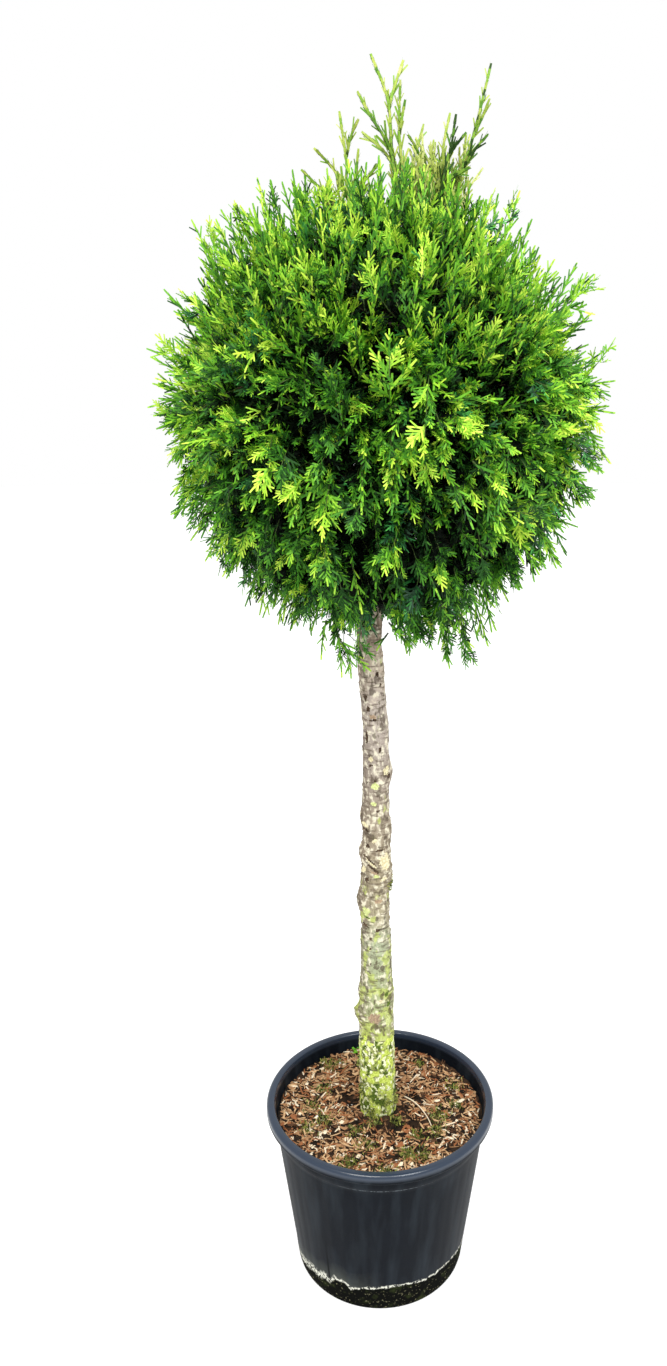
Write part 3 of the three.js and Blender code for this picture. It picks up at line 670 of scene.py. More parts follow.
places = np.stack([radius * np.cos(turn), radius * np.sin(turn), height], -1)
relief = np.array([bark_relief(x, y, z) for x, y, z in places.reshape(-1, 3)]).reshape(radius.shape)
radius += relief * smoothstep(radius, 3, 14)
middle_x, middle_y = trunk_station(1, height), trunk_station(2, height)
points = np.stack([middle_x + radius * np.cos(turn), middle_y + radius * np.sin(turn), height], -1)
points = points.reshape(-1, 3)
trunk_quads = ring_quads(len(heights), TRUNK_COLUMNS)
print("trunk rings:", len(heights), "faces:", len(trunk_quads))

# %% [markdown]
# Conifer bark that has flaked thin, with algae on it. Its colours change up the stem: lime-green algae with
# cream flecks at the foot, pale grey-green wrinkled bark, a brown-grey stretch round the burls, and paler
# bark just under the crown, a painted light against the ball's shadow. A colour ramp by height gives that,
# with its borders moved by noise. Layers then lay a painted shade on the left and right sides, the pale
# flakes, the green film and the dark splits over it.

# %% The trunk's bark
RAMP_LOW, RAMP_HIGH = 0.205, 0.935
# The height in metres and the colour there. The pale colours near 0.83 and 0.88 m are painted light against
# the ball's shadow.
BARK_BY_HEIGHT = [(0.23, "#6f8a2c"), (0.30, "#8fa040"), (0.345, "#98a254"), (0.40, "#9aa274"),
                  (0.50, "#9da487"), (0.535, "#9e967c"), (0.60, "#92876f"), (0.68, "#918574"),
                  (0.76, "#988d82"), (0.83, "#b0a499"), (0.88, "#c4b4a2"), (0.92, "#968474")]


def bark_finish(name):
    """Old conifer bark: scaly and matt, dark where it splits, pale where it flaked, with algae on it."""
    bark, tree, shader, place = new_finish(name, 0.85, 0.2)
    parts = add_node(tree, "ShaderNodeSeparateXYZ", None, {0: place})
    stretch = add_node(tree, "ShaderNodeMapping", None, {"Vector": place, "Scale": (1, 1, 0.6)})
    squash = add_node(tree, "ShaderNodeMapping", None, {"Vector": place, "Scale": (0.45, 0.45, 2.0)})
    patches = add_node(tree, "ShaderNodeTexNoise", None, {
        "Vector": stretch, "Scale": grains(9.524), "Detail": 6})
    wrinkles = add_node(tree, "ShaderNodeTexNoise", None, {
        "Vector": squash, "Scale": grains(6.667), "Detail": 4})
    flakes = add_node(tree, "ShaderNodeTexNoise", None, {
        "Vector": stretch, "Scale": grains(5.263), "Detail": 6})
    film = add_node(tree, "ShaderNodeTexNoise", None, {
        "Vector": stretch, "Scale": grains(16.67), "Detail": 6})
    shifted = add_node(tree, "ShaderNodeMapRange", None, {
        "Value": patches, "To Min": -0.05, "To Max": 0.05})
    level = add_node(tree, "ShaderNodeMath", {"operation": "ADD"}, {0: parts.outputs["Z"], 1: shifted})
    level = add_node(tree, "ShaderNodeMapRange", None, {
        "Value": level, "From Min": RAMP_LOW, "From Max": RAMP_HIGH})
    by_height = add_node(tree, "ShaderNodeValToRGB", None, {"Fac": level})
    steps = by_height.color_ramp.elements
    steps.remove(steps[1])
    for number, (up_the_stem, colour) in enumerate(BARK_BY_HEIGHT):
        where = (up_the_stem - RAMP_LOW) / (RAMP_HIGH - RAMP_LOW)
        step = steps.new(where) if number else steps[0]
        step.position = where
        step.color = linear(colour)
    colour = by_height.outputs["Color"]
    # Each layer: what places it, where it starts and is full, its share and its colour. The first two go by
    # how far right the bark is and paint shade on the stem's left and right sides; the others go by noise.
    film_high = add_node(tree, "ShaderNodeMapRange", None, {
        "Value": parts.outputs["Z"], "From Min": 0.33, "From Max": 0.62, "To Min": 0.05, "To Max": -0.13})
    film_over = add_node(tree, "ShaderNodeMath", {"operation": "ADD"}, {0: film, 1: film_high})
    layers = [(parts, -0.009, -0.023, 0.6, "#6a5b50"), (parts, 0.003, 0.013, 0.35, "#7a6c5c"),
              (flakes, 0.5, 0.62, 0.75, "#e4ddc4"), (film_over, 0.5, 0.55, 0.7, "#abb958"),
              (wrinkles, 0.47, 0.38, 0.7, "#5c4f42"), (patches, 0.43, 0.37, 0.75, "#4c4034"),
              (flakes, 0.41, 0.35, 0.55, "#57523a")]
    for source, start, full, most, tint in layers:
        share = add_node(tree, "ShaderNodeMapRange", None, {
            "Value": source, "From Min": start, "From Max": full, "To Max": most})
        colour = add_node(tree, "ShaderNodeMix", MIX_COLOURS, {
            MIX_FACTOR: share, MIX_A: colour, MIX_B: linear(tint)}).outputs[MIX_OUT]
    tree.links.new(colour, shader.inputs["Base Color"])
    bump = add_node(tree, "ShaderNodeBump", None, {"Strength": 1.0, "Distance": 0.002, "Height": flakes})
    bump = add_node(tree, "ShaderNodeBump", None, {
        "Strength": 0.7, "Distance": 0.0015, "Height": wrinkles, "Normal": bump.outputs["Normal"]})
    tree.links.new(bump.outputs["Normal"], shader.inputs["Normal"])
    return bark


print("colours up the stem:", len(BARK_BY_HEIGHT))

# %% [markdown]
# Single marks are told apart at a glance, so each is a patch of faces with a finish of its own: dark marks,
# partly split bark and partly painted shadow under burls and lifted flakes, shed flakes, algae, bare wood
# and moss. Noise makes their edges ragged. The foot of the stem is a mosaic of them.

# %% The marks on the bark
# Each kind of mark is mottled between a dark and a light shade.
# The dark marks are partly splits in the bark and partly painted shadow under burls and lifted flakes.
MARK_FINISHES = {"split_and_shadow": ("#2a211a", "#574636"), "shed": ("#b9ae88", "#ded5b2"),
                 "algae": ("#a6ae6c", "#ccd494"), "wood": ("#84705c", "#ab9478"),
                 "moss": ("#34461a", "#64782a"), "lime": ("#9db03a", "#d6e474"),
                 "fleck": ("#cfd4a0", "#f0f2d0")}
# Bearing in degrees, height, half the width round the stem, half the height, slant and kind, in millimetres.
BARK_MARKS = [
    (-126, 842, 3, 4.5, 0, "split_and_shadow"), (-115, 827, 2.5, 3.5, 0.2, "split_and_shadow"), (-60, 872, 2.2, 3, 0, "split_and_shadow"),
    (-52, 858, 1.8, 2.4, 0, "split_and_shadow"), (-97, 812, 5.5, 1.4, 0.1, "split_and_shadow"), (-97, 816.5, 4.4, 3, 0, "wood"),
    (-134, 788, 1.8, 9, 0, "split_and_shadow"), (-72, 773, 1.8, 4, 0.6, "split_and_shadow"), (-114, 760, 3.4, 3.2, 0, "shed"),
    (-112, 752, 3, 1.2, 0.2, "split_and_shadow"), (-42, 744, 5, 6, 0, "shed"), (-30, 735, 3.4, 3, 0, "split_and_shadow"),
    (-95, 730, 2, 2.2, 0, "split_and_shadow"), (-93, 724, 4.5, 5, 0, "algae"), (-131, 728, 1.6, 1.8, 0, "split_and_shadow"),
    (-82, 690, 3, 1.6, 0, "split_and_shadow"), (-100, 700, 4, 3, 0, "algae"), (-140, 669, 5, 3.2, -0.5, "shed"),
    (-138, 662, 6, 1.8, -0.5, "split_and_shadow"), (-95, 648, 3, 2.4, 0.4, "shed"), (-75, 635, 6, 1.6, 0.1, "split_and_shadow"),
    (-128, 640, 3, 3, 0, "split_and_shadow"), (-118, 622, 9, 2.2, -0.7, "split_and_shadow"), (-110, 617, 8, 1.6, -0.7, "shed"),
    (-104, 610, 9, 2.4, -0.7, "split_and_shadow"), (-100, 604, 6, 2, -0.5, "wood"), (-54, 618, 8, 10, 0, "shed"),
    # The algae mark at -88 degrees and 598 mm is a painted highlight.
    (-127, 593, 4, 4, 0, "split_and_shadow"), (-88, 598, 4, 2.6, 0, "algae"), (-60, 594, 5, 2, 0.2, "shed"),
    (-150, 604, 4, 5, 0, "shed"), (-75, 562, 5, 2.6, 0, "wood"), (-127, 546, 5.5, 6, 0, "algae"),
    (-124, 537, 5, 1.4, -0.2, "moss"), (-135, 525, 6, 1.6, -0.5, "split_and_shadow"), (-70, 520, 7, 1.3, 0.1, "split_and_shadow"),
    (-110, 507, 1.8, 1.6, 0, "split_and_shadow"), (-112, 492, 1.6, 1.4, 0, "split_and_shadow"), (-109, 472, 1.8, 1.2, 0, "split_and_shadow"),
    (-111, 458, 1.8, 1.2, 0, "split_and_shadow"), (172, 462, 3, 3, 0, "split_and_shadow"), (180, 424, 4, 4, 0, "split_and_shadow"),
    (-50, 424, 4, 3, 0.4, "moss"), (-44, 408, 3.4, 4, -0.3, "moss"), (-76, 414, 4, 2.6, 0.2, "shed"),
    (-98, 389, 8, 8, 0, "wood"), (-48, 382, 4, 7, 0, "algae"), (-160, 372, 7, 2, -0.6, "shed")]
FOOT_MOSAIC = (352, 372)
MARK_NUMBERS = {kind: 1 + place for place, kind in enumerate(MARK_FINISHES)}


def mark_at(x, y, z):
    """The number of the finish at a place on the bark: 0 for bark, and from 1 the kinds of marks."""
    bearing_here = math.degrees(math.atan2(y, x))
    ragged = 0.5 * noise.fractal(Vector((x / 3, y / 3, z / 3)), 0.7, 2.1, 3)
    found = 0
    for degrees, level, half_width, half_height, slant, kind in BARK_MARKS:
        if abs(z - level) > 3 * half_height + 4:
            continue
        turn_here = (bearing_here - degrees + 180) % 360 - 180
        across = math.radians(turn_here) * math.hypot(x, y)
        up = z - level - slant * across
        if (across / half_width) ** 2 + (up / half_height) ** 2 < 1 + 1.6 * ragged:
            found = MARK_NUMBERS[kind]
    if found or z > FOOT_MOSAIC[1]:
        return found
    # The foot of the stem is a mosaic of algae, moss and pale flecks.
    fade = smoothstep(z, *FOOT_MOSAIC)
    mosaic = noise.fractal(Vector((x / 11, y / 11, z / 15)), 0.9, 2.0, 3)
    fleck = noise.noise(Vector((x / 4.2 + 7, y / 4.2, z / 5.5)))
    if fleck > 0.27 + fade:
        return MARK_NUMBERS["fleck"]
    if mosaic > 0.1 + fade:
        return MARK_NUMBERS["lime"]
    return MARK_NUMBERS["moss"] if mosaic < -0.24 - fade else 0


# %% The trunk, with its marks
corner_places = np.stack([radius * np.cos(turn), radius * np.sin(turn), height], -1).reshape(-1, 3)
middles = corner_places[trunk_quads].mean(1)
mark_of_face = np.array([mark_at(*middle) if middle[2] < CROWN_FOOT else 0 for middle in middles])
bark_materials = [bark_finish("flaking_conifer_bark")]
for kind, (dark, light) in MARK_FINISHES.items():
    bark_materials.append(mottled_finish(
        "bark_" + kind, roughness=0.85, specular=0.15, grain=2.381, detail=4, dark=linear(dark),
        light=linear(light), limits=(0.38, 0.62))[0])
trunk = piece_from_arrays("trunk_bark", points * MM, trunk_quads, bark_materials, mark_of_face)
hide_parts("trunk")
print("faces of each finish on the bark:", np.bincount(mark_of_face))

# %% [markdown]
# Now the crown. It grows in four steps, each from the one before: boughs from the trunk, limbs from the
# boughs, twigs from the limbs, and at the end of each twig a frond, a flat feather of sprays. A frond
# follows the rule of the model's own sprays, written finer: it starts inside the ball, points up at the
# shoulders and hangs below the middle. First come the helpers that every step uses, for tubes along a path,
# for an even spread over a ball, and for how far the shears left the foliage. No clipped ball is quite
# round, and this one is flat at its shoulders.

# %% Tubes and spread
BALL_MIDDLE = np.array([-3.0, 0, 1173])
BALL_RADIUS = 246
SHOULDER_RISE = 12
# How far the ball's edge is out of round, in millimetres, at every 12 degrees from the right over the top,
# and by how much all of it is stressed.
OUT_OF_ROUND = [3, 4, -9, -11, -22, -17, -8, 0, 1, -22, -13, -9, -20, -17, -7, 0, -17, -12, -3, -7, 3, 3,
                -2, 5, 9, 2, 3, 0, 5, 1]
OUT_OF_ROUND_STRESS = 1.1


def tubes(paths, radii, sides):
    """Closed tubes along paths, an array of tubes by points by 3. Gives their corners and triangles."""
    count, steps = paths.shape[:2]
    along = np.gradient(paths, axis=1)
    along = unit(along + 1e-9)
    chord = unit(paths[:, -1] - paths[:, 0] + 1e-9)
    helper = np.where(np.abs(chord[:, 2:3]) < 0.8, [[0, 0, 1.0]], [[1.0, 0, 0]])
    across = unit(np.cross(along, np.broadcast_to(helper[:, None], along.shape)))
    other = np.cross(along, across)
    angle = np.linspace(0, 2 * math.pi, sides, endpoint=False)
    round_it = across[:, :, None] * np.cos(angle)[:, None] + other[:, :, None] * np.sin(angle)[:, None]
    corners = paths[:, :, None] + round_it * radii[:, :, None, None]
    step, side = np.meshgrid(np.arange(steps - 1), np.arange(sides), indexing="ij")
    beside = (side + 1) % sides
    first = (step * sides + side).ravel()
    second = (step * sides + beside).ravel()
    wall = np.concatenate([np.stack([first, second, second + sides], -1),
                           np.stack([first, second + sides, first + sides], -1)])
    fan = np.arange(1, sides - 1)
    foot = np.stack([np.zeros_like(fan), fan + 1, fan], -1)
    tip = np.stack([np.zeros_like(fan), fan, fan + 1], -1) + (steps - 1) * sides
    pattern = np.concatenate([wall, foot, tip])
    faces = pattern[None] + (steps * sides) * np.arange(count)[:, None, None]
    return corners.reshape(-1, 3), faces.reshape(-1, 3)


def spread(count):
    """Evenly spread directions, from the top of a ball down."""
    index = np.arange(count)
    up = 1 - 2 * (index + 0.5) / count
    turned = index * math.pi * (3 - math.sqrt(5))
    flat = np.sqrt(1 - up * up)
    return np.stack([flat * np.cos(turned), flat * np.sin(turned), up], -1)


def clipped_radius(directions):
    """How far the shears left the foliage in each direction from the ball's middle."""
    turned = np.degrees(np.arctan2(directions[..., 2], directions[..., 0]))
    bearings = 360 / len(OUT_OF_ROUND) * np.arange(len(OUT_OF_ROUND))
    uneven = OUT_OF_ROUND_STRESS * np.interp(turned, bearings, OUT_OF_ROUND, period=360)
    at_edge = smoothstep(np.hypot(directions[..., 0], directions[..., 2]), 0.55, 0.95)
    return BALL_RADIUS + SHOULDER_RISE * smoothstep(directions[..., 2], 0.3, 0.8) + uneven * at_edge


def curves(starts, start_ways, ends, end_ways, steps):
    """Smooth paths between two rows of points, leaving and arriving along the ways given, as long vectors."""
    share = np.linspace(0, 1, steps)[None, :, None]
    first, last = starts[:, None], ends[:, None]
    near, far = first + start_ways[:, None], last - end_ways[:, None]
    rest = 1 - share
    return rest ** 3 * first + 3 * rest ** 2 * share * near + 3 * rest * share ** 2 * far + share ** 3 * last


def trunk_middle(height):
    """The middle of the trunk at a height, or at each of many."""
    return np.stack([trunk_station(1, height), trunk_station(2, height), height], -1)


print("ball:", 2 * BALL_RADIUS, "mm across, its middle", BALL_MIDDLE[2], "mm up")

# %% [markdown]
# Boughs leave the trunk all the way up through the ball, the lowest just above its foot. Their tips are
# spread evenly over a smaller ball, and each starts a little lower on the trunk than its tip, as a bough of
# such a tree does. A limb starts from the nearest point of a bough that lies further in.

# %% Boughs and limbs
BOUGHS, BOUGH_REACH = 34, 0.58
LIMBS, LIMB_REACH = 190, 0.68
BOUGH_FOOT, BOUGH_TOP = 924, 1375

draw = np.random.default_rng(11)
ways = spread(BOUGHS)
bough_tips = BALL_MIDDLE + ways * clipped_radius(ways)[:, None] * BOUGH_REACH
flat_reach = np.hypot(bough_tips[:, 0], bough_tips[:, 1])
bough_feet = trunk_middle(np.clip(bough_tips[:, 2] - 0.55 * flat_reach, BOUGH_FOOT, BOUGH_TOP))
span = bough_tips - bough_feet
length = np.linalg.norm(span, axis=1, keepdims=True)
outward = unit(span * [1, 1, 0.2] + 1e-6)
bough_paths = curves(bough_feet, (outward + [0, 0, 0.35]) * length * 0.35, bough_tips,
                     unit(span + ways * length * 0.5) * length * 0.3, 12)
bough_radii = np.linspace(1, 0.42, 12)[None] * (3.4 + 2.4 * (bough_feet[:, 2:3] < 1150))
bough_radii = bough_radii * (1 + 0.1 * draw.standard_normal(bough_radii.shape))
bough_points, bough_faces = tubes(bough_paths, bough_radii, 8)


def nearest(targets, samples, deeper_by=8):
    """For each target the nearest sample that lies deeper in the ball than it."""
    away = np.linalg.norm(targets[:, None] - samples[None], axis=2)
    depth_of_target = np.linalg.norm(targets - BALL_MIDDLE, axis=1)
    depth_of_sample = np.linalg.norm(samples - BALL_MIDDLE, axis=1)
    away += 400 * (depth_of_sample[None] > depth_of_target[:, None] - deeper_by)
    return np.argmin(away, axis=1)


ways = unit(spread(LIMBS) + draw.uniform(-0.1, 0.1, (LIMBS, 3)))
limb_reach = draw.uniform(LIMB_REACH - 0.08, LIMB_REACH, (LIMBS, 1))
limb_tips = BALL_MIDDLE + ways * clipped_radius(ways)[:, None] * limb_reach
bough_samples = bough_paths[:, 4:].reshape(-1, 3)
limb_feet = bough_samples[nearest(limb_tips, bough_samples)]
span = limb_tips - limb_feet
length = np.linalg.norm(span, axis=1, keepdims=True)
limb_paths = curves(limb_feet, unit(span + draw.normal(0, 12, span.shape)) * length * 0.35, limb_tips,
                    unit(span + ways * length) * length * 0.35, 8)
limb_radii = np.broadcast_to(np.linspace(1.9, 1.0, 8), (LIMBS, 8))
limb_points, limb_faces = tubes(limb_paths, limb_radii, 5)
print("boughs:", BOUGHS, "limbs:", LIMBS, "faces:", len(bough_faces) + len(limb_faces))

# %% [markdown]
# One frond is a flat feather, 40 to 120 mm long. Its tip is spread over the ball, and its length and growth
# follow the rule. Inner layers fill the ball behind the clipped face with older fronds, painted darker as
# shade. Tips that the shears missed stand further out: some anywhere, and some at places of their own.

# %% Where the fronds grow
SPRAY_ROOT_SHARE = 0.77
SPRAY_LIFT = (-1.1, 1)
LIFT_TURN = (-0.4, 0.75)
LIFT_RANGE = (0.3, 1)
SPRAY_SIDEWAYS = 0.4
SPRAY_TWIST = 2.6
CLUMP_SIZE = 26
HOLLOW_DEPTH = 24
# Layer: how many fronds, how far in from the clipped face their tips lie, and how far in their roots start.
LAYERS = [("clipped_face", 2150, (-22, 5), 0), ("behind_it", 620, (-60, -28), 36),
          ("heart", 220, (-112, -58), 88)]
STRAYS, STRAY_REACH = 150, (8, 18)
LOOSE_TIPS = [(-44, -46, 880), (-28, -66, 903), (104, -40, 889), (78, -78, 905), (-60, 96, 892),
              (70, 104, 898), (-264, -12, 1188), (-263, 10, 1259), (270, 20, 1200), (262, -20, 1258),
              (256, -46, 1122), (-240, 30, 1120), (-222, -40, 1312), (243, -30, 1327), (-192, 10, 1390),
              (-160, -46, 1402), (149, -22, 1414), (122, -40, 1410), (-120, 10, 1428), (-88, -20, 1424),
              (-84, 46, 1441), (20, 272, 1220), (-46, 268, 1120), (40, -272, 1150), (-60, -262, 1240)]


def clump(points):
    """1 on a tuft of the clipped face and 0 in a hollow between tufts, for points in millimetres."""
    field = np.array([noise.noise(Vector(point) / CLUMP_SIZE) for point in points])
    return smoothstep(field, -0.35, 0.25)


# %% The tips and roots of the fronds
draw = np.random.default_rng(23)
tips, root_depths, layer_of = [], [], []
for layer, (name, count, ragged, depth_in) in enumerate(LAYERS):
    ways = unit(spread(count) + draw.uniform(-0.06, 0.06, (count, 3)))
    face = clipped_radius(ways)
    face = face - HOLLOW_DEPTH * (1 - clump(BALL_MIDDLE + ways * face[:, None]))
    tips.append(BALL_MIDDLE + ways * (face + draw.uniform(*ragged, count))[:, None])
    root_depths.append(np.full(count, depth_in))
    layer_of.append(np.full(count, layer))
    print(name, "layer:", count, "fronds")
ways = unit(draw.standard_normal((STRAYS, 3)))
tips.append(BALL_MIDDLE + ways * (clipped_radius(ways) + draw.uniform(*STRAY_REACH, STRAYS))[:, None])
tips.append(np.array(LOOSE_TIPS, float))
extra = STRAYS + len(LOOSE_TIPS)
root_depths.append(np.zeros(extra))
layer_of.append(np.zeros(extra, int))
tips, root_depths, layer_of = np.concatenate(tips), np.concatenate(root_depths), np.concatenate(layer_of)
FRONDS = len(tips)

out = tips - BALL_MIDDLE
reach = np.linalg.norm(out, axis=1)
out = out / reach[:, None]
lift = SPRAY_LIFT[0] + (SPRAY_LIFT[1] - SPRAY_LIFT[0]) * smoothstep(out[:, 2], *LIFT_TURN)
growth = out + SPRAY_SIDEWAYS * draw.standard_normal((FRONDS, 3))
growth[:, 2] += lift * draw.uniform(*LIFT_RANGE, FRONDS)
growth = unit(growth)
# A frond that grows sideways is turned outwards, so that its root lies inside the ball.
growth = unit(growth + out * np.clip(0.8 - (growth * out).sum(1), 0, None)[:, None])
depth = np.maximum(reach - clipped_radius(out) * SPRAY_ROOT_SHARE + root_depths, 40)
frond_length = depth / np.maximum((growth * out).sum(1), 0.6)
roots = tips - growth * frond_length[:, None]
lean = draw.uniform(-0.5, 0.5, (FRONDS, 3))
facing = unit(out + SPRAY_TWIST * lean)
print("fronds:", FRONDS, "lengths", frond_length.min().round(), "to", frond_length.max().round(), "mm")

# %% [markdown]
# Each frond's stalk bends: below the middle it leaves the limb level and its end hangs, and high up it turns
# upwards. A thin twig joins its root to the nearest limb, so every spray is carried all the way from the
# trunk.

# %% Stalks and twigs
STALK_STEPS = 4
TERMINAL_SPRAY = 27
BEND = 0.3

stalk_length = np.maximum(frond_length - TERMINAL_SPRAY * 0.8, 18)
bend = BEND * lift[:, None] * np.array([0, 0, 1.0])
stalk_share = np.linspace(0, 1, STALK_STEPS)[None, :, None]
start_way, end_way = growth - bend, growth + bend
way_change = (end_way - start_way)[:, None]
stalks = roots[:, None] + stalk_length[:, None, None] * (stalk_share * start_way[:, None]
                                                         + stalk_share ** 2 / 2 * way_change)
stalk_radii = np.broadcast_to(np.linspace(0.95, 0.5, STALK_STEPS), (FRONDS, STALK_STEPS))
stalk_points, stalk_faces = tubes(stalks, stalk_radii, 3)

limb_samples = np.concatenate([limb_paths[:, 2:].reshape(-1, 3), bough_paths[:, 5:].reshape(-1, 3)])
twig_feet = limb_samples[nearest(roots, limb_samples, 4)]
span = roots - twig_feet
length = np.linalg.norm(span, axis=1, keepdims=True)
twig_paths = curves(twig_feet, unit(span + 1e-6) * length * 0.35, roots, unit(start_way) * length * 0.3, 5)
twig_radii = np.broadcast_to(np.linspace(1.1, 0.9, 5), (FRONDS, 5))
twig_points, twig_faces = tubes(twig_paths, twig_radii, 3)
print("stalk and twig faces:", len(stalk_faces) + len(twig_faces))

# %% [markdown]
# A spray is a flat fan, 15 to 45 mm long: an axis with pairs of narrow fingers, the lower ones forked, and
# each of them a shoot wrapped in scale leaves. One finger is a strip of two triangles that narrows to a
# blunt end. A few templates are drawn once. Slim ones stand at the top, wide fans hang in front, tufts open
# to all sides, and the coarse old ones fill the inside.

# %% The spray templates
# Kind: pairs of fingers, how many of them fork, their angle at the foot and at the tip in degrees, their
# length and width as shares, and how far each next pair is rolled round the axis.
SPRAY_KINDS = {"fan": (5, 3, 52, 30, 0.4, 0.082, 0.1), "feather": (5, 3, 44, 26, 0.35, 0.076, 0.15),
               "slim": (5, 1, 28, 16, 0.32, 0.074, 0.5), "tuft": (4, 3, 48, 32, 0.42, 0.088, 1.2),
               "old": (3, 0, 50, 34, 0.46, 0.15, 0.9)}
TEMPLATES_OF_A_KIND = 4
STRIP_TRIANGLES = [[0, 1, 2], [0, 2, 3]]
FORK_AT, FORK_ANGLE, FORK_LENGTH = 0.42, 0.75, 0.56


def strip(root, angle, length, width, droop):
    """Four corners of one finger, a strip that narrows to a blunt end."""
    ahead = np.array([math.sin(angle), math.cos(angle)])
    beside = np.array([ahead[1], -ahead[0]]) * width / 2
    tip = root + ahead * length
    foot_left, foot_right = root - 0.85 * beside, root + 0.85 * beside
    return [(*foot_left, 0), (*foot_right, 0), (*(tip + 0.6 * beside), droop * length),
            (*(tip - 0.6 * beside), droop * length)]


def rolled(corners, roll):
    """Corners turned about the spray's own axis."""
    return [(x * math.cos(roll) - z * math.sin(roll), y, x * math.sin(roll) + z * math.cos(roll))
            for x, y, z in corners]


def spray_template(draw, pairs, forked, foot_angle, tip_angle, finger_length, finger_width, roll_step):
    """A spray of length 1 along +Y: its corners, its triangles, and which of them are at its tip."""
    corners, at_tip = [], []
    for pair in range(pairs):
        share = (pair + 0.6) / (pairs + 0.6)
        angle = math.radians(foot_angle + (tip_angle - foot_angle) * share)
        for side in (-1, 1):
            root = np.array([0, share * 0.8 + side * 0.04 + draw.uniform(-0.03, 0.03)])
            length = finger_length * (1.1 - 0.6 * share) * draw.uniform(0.75, 1.2)
            turned = side * angle * draw.uniform(0.8, 1.2)
            width = finger_width * draw.uniform(0.85, 1.15)
            droop = draw.uniform(-0.3, 0.15)
            blades = strip(root, turned, length, width, droop)
            if pair < forked:
                fork = root + FORK_AT * length * np.array([math.sin(turned), math.cos(turned)])
                away = draw.choice([-1, 1]) * FORK_ANGLE
                blades += strip(fork, turned + away, FORK_LENGTH * length, width, droop)
            corners += rolled(blades, pair * roll_step + draw.normal(0, 0.2))
            at_tip += [share > 0.6] * (len(blades) // 4)
    corners += strip(np.array([0, 0.68]), draw.uniform(-0.15, 0.15), 0.34, finger_width, -0.05)
    corners += strip(np.array([0, 0.0]), 0, 0.8, finger_width * 1.1, 0)
    at_tip += [True, False]
    faces = (np.array(STRIP_TRIANGLES)[None] + 4 * np.arange(len(at_tip))[:, None, None]).reshape(-1, 3)
    return np.array(corners), faces, np.repeat(np.array(at_tip), 2)


def single_leaf(width, droop):
    """One finger of length 1 by itself, as a template."""
    return np.array(strip(np.zeros(2), 0, 1, width, droop)), np.array(STRIP_TRIANGLES), np.zeros(2, bool)


LEAF_KINDS = {"scale": (0.42, -0.05), "finger": (0.2, 0.1), "leaf": (0.5, -0.25)}
draw = np.random.default_rng(31)
templates = {kind: [spray_template(draw, *sizes) for _ in range(TEMPLATES_OF_A_KIND)]
             for kind, sizes in SPRAY_KINDS.items()}
templates.update({kind: [single_leaf(*sizes)] * TEMPLATES_OF_A_KIND for kind, sizes in LEAF_KINDS.items()})
print("triangles in a spray:", {kind: len(group[0][1]) for kind, group in templates.items()})

# %% [markdown]
# Sprays stand along a stalk by turns to the left and right, longest a third of the way up, with one at its
# end. For each the arrays hold a root, the way it grows, the way it faces, a length, a kind and a tone. The
# tone is the number of a plain green, from painted shade to lime. It rises towards the tips and from frond
# to frond, and outwards and upwards as painted light, which gives the light clusters on dark ground that the
# clipped face shows.

# %% Where the sprays grow
SIDE_SPRAYS = 8
SIDE_FROM, SIDE_TO = 0.16, 0.98
SIDE_ANGLES = (54, 32)
SIDE_LENGTHS = (36, 25)
SPRAY_ROLL = 0.35
TUFT_SHARE = 0.3
COOL_SHARE = 0.2
TONES = 7

draw = np.random.default_rng(47)
share = np.linspace(SIDE_FROM, SIDE_TO, SIDE_SPRAYS)
side = np.where((np.arange(SIDE_SPRAYS)[None] + draw.integers(0, 2, (FRONDS, 1))) % 2 == 0, 1.0, -1.0)
share = share[None] + draw.uniform(-0.02, 0.02, (FRONDS, SIDE_SPRAYS))
where = roots[:, None] + stalk_length[:, None, None] * (share[..., None] * start_way[:, None]
                                                        + share[..., None] ** 2 / 2 * way_change)
along = unit(start_way[:, None] + share[..., None] * way_change)
across = unit(np.cross(along, facing[:, None]))
angle = SIDE_ANGLES[0] + (SIDE_ANGLES[1] - SIDE_ANGLES[0]) * share + draw.normal(0, 6, share.shape)
angle = np.radians(angle)
roll = draw.normal(0, SPRAY_ROLL, share.shape)
sideways = across * np.cos(roll)[..., None] + np.cross(along, across) * np.sin(roll)[..., None]
way = unit(along * np.cos(angle)[..., None] + sideways * (side * np.sin(angle))[..., None])
way = unit(way + draw.normal(0, 0.16, way.shape))
size = (SIDE_LENGTHS[0] + (SIDE_LENGTHS[1] - SIDE_LENGTHS[0]) * share) * draw.uniform(0.75, 1.12, share.shape)
size *= np.clip(frond_length / 75, 0.75, 1.15)[:, None]

end = stalks[:, -1]
end_size = TERMINAL_SPRAY * draw.uniform(0.85, 1.15, FRONDS)
spray_root = np.concatenate([where.reshape(-1, 3), end])
spray_way = np.concatenate([way.reshape(-1, 3), unit(end_way)])
spray_size = np.concatenate([size.ravel(), end_size])
spray_frond = np.concatenate([np.repeat(np.arange(FRONDS), SIDE_SPRAYS), np.arange(FRONDS)])
spray_share = np.concatenate([share.ravel(), np.ones(FRONDS)])
spray_facing = unit(facing[spray_frond] + draw.normal(0, 0.45, (len(spray_root), 3)))

print("sprays to lay out:", len(spray_root))

# %% [markdown]
# A spray that would touch the bare trunk or hang out under the ball is skipped, as the shears take those
# first. The tone then adds up what makes a spray light. Near the end of its frond and in a vigorous frond it
# is young growth. Near the clipped face, high on the ball, at its sides and on a tuft it is painted light,
# and deep inside, in an inner layer, low down and in a hollow it is painted shade.

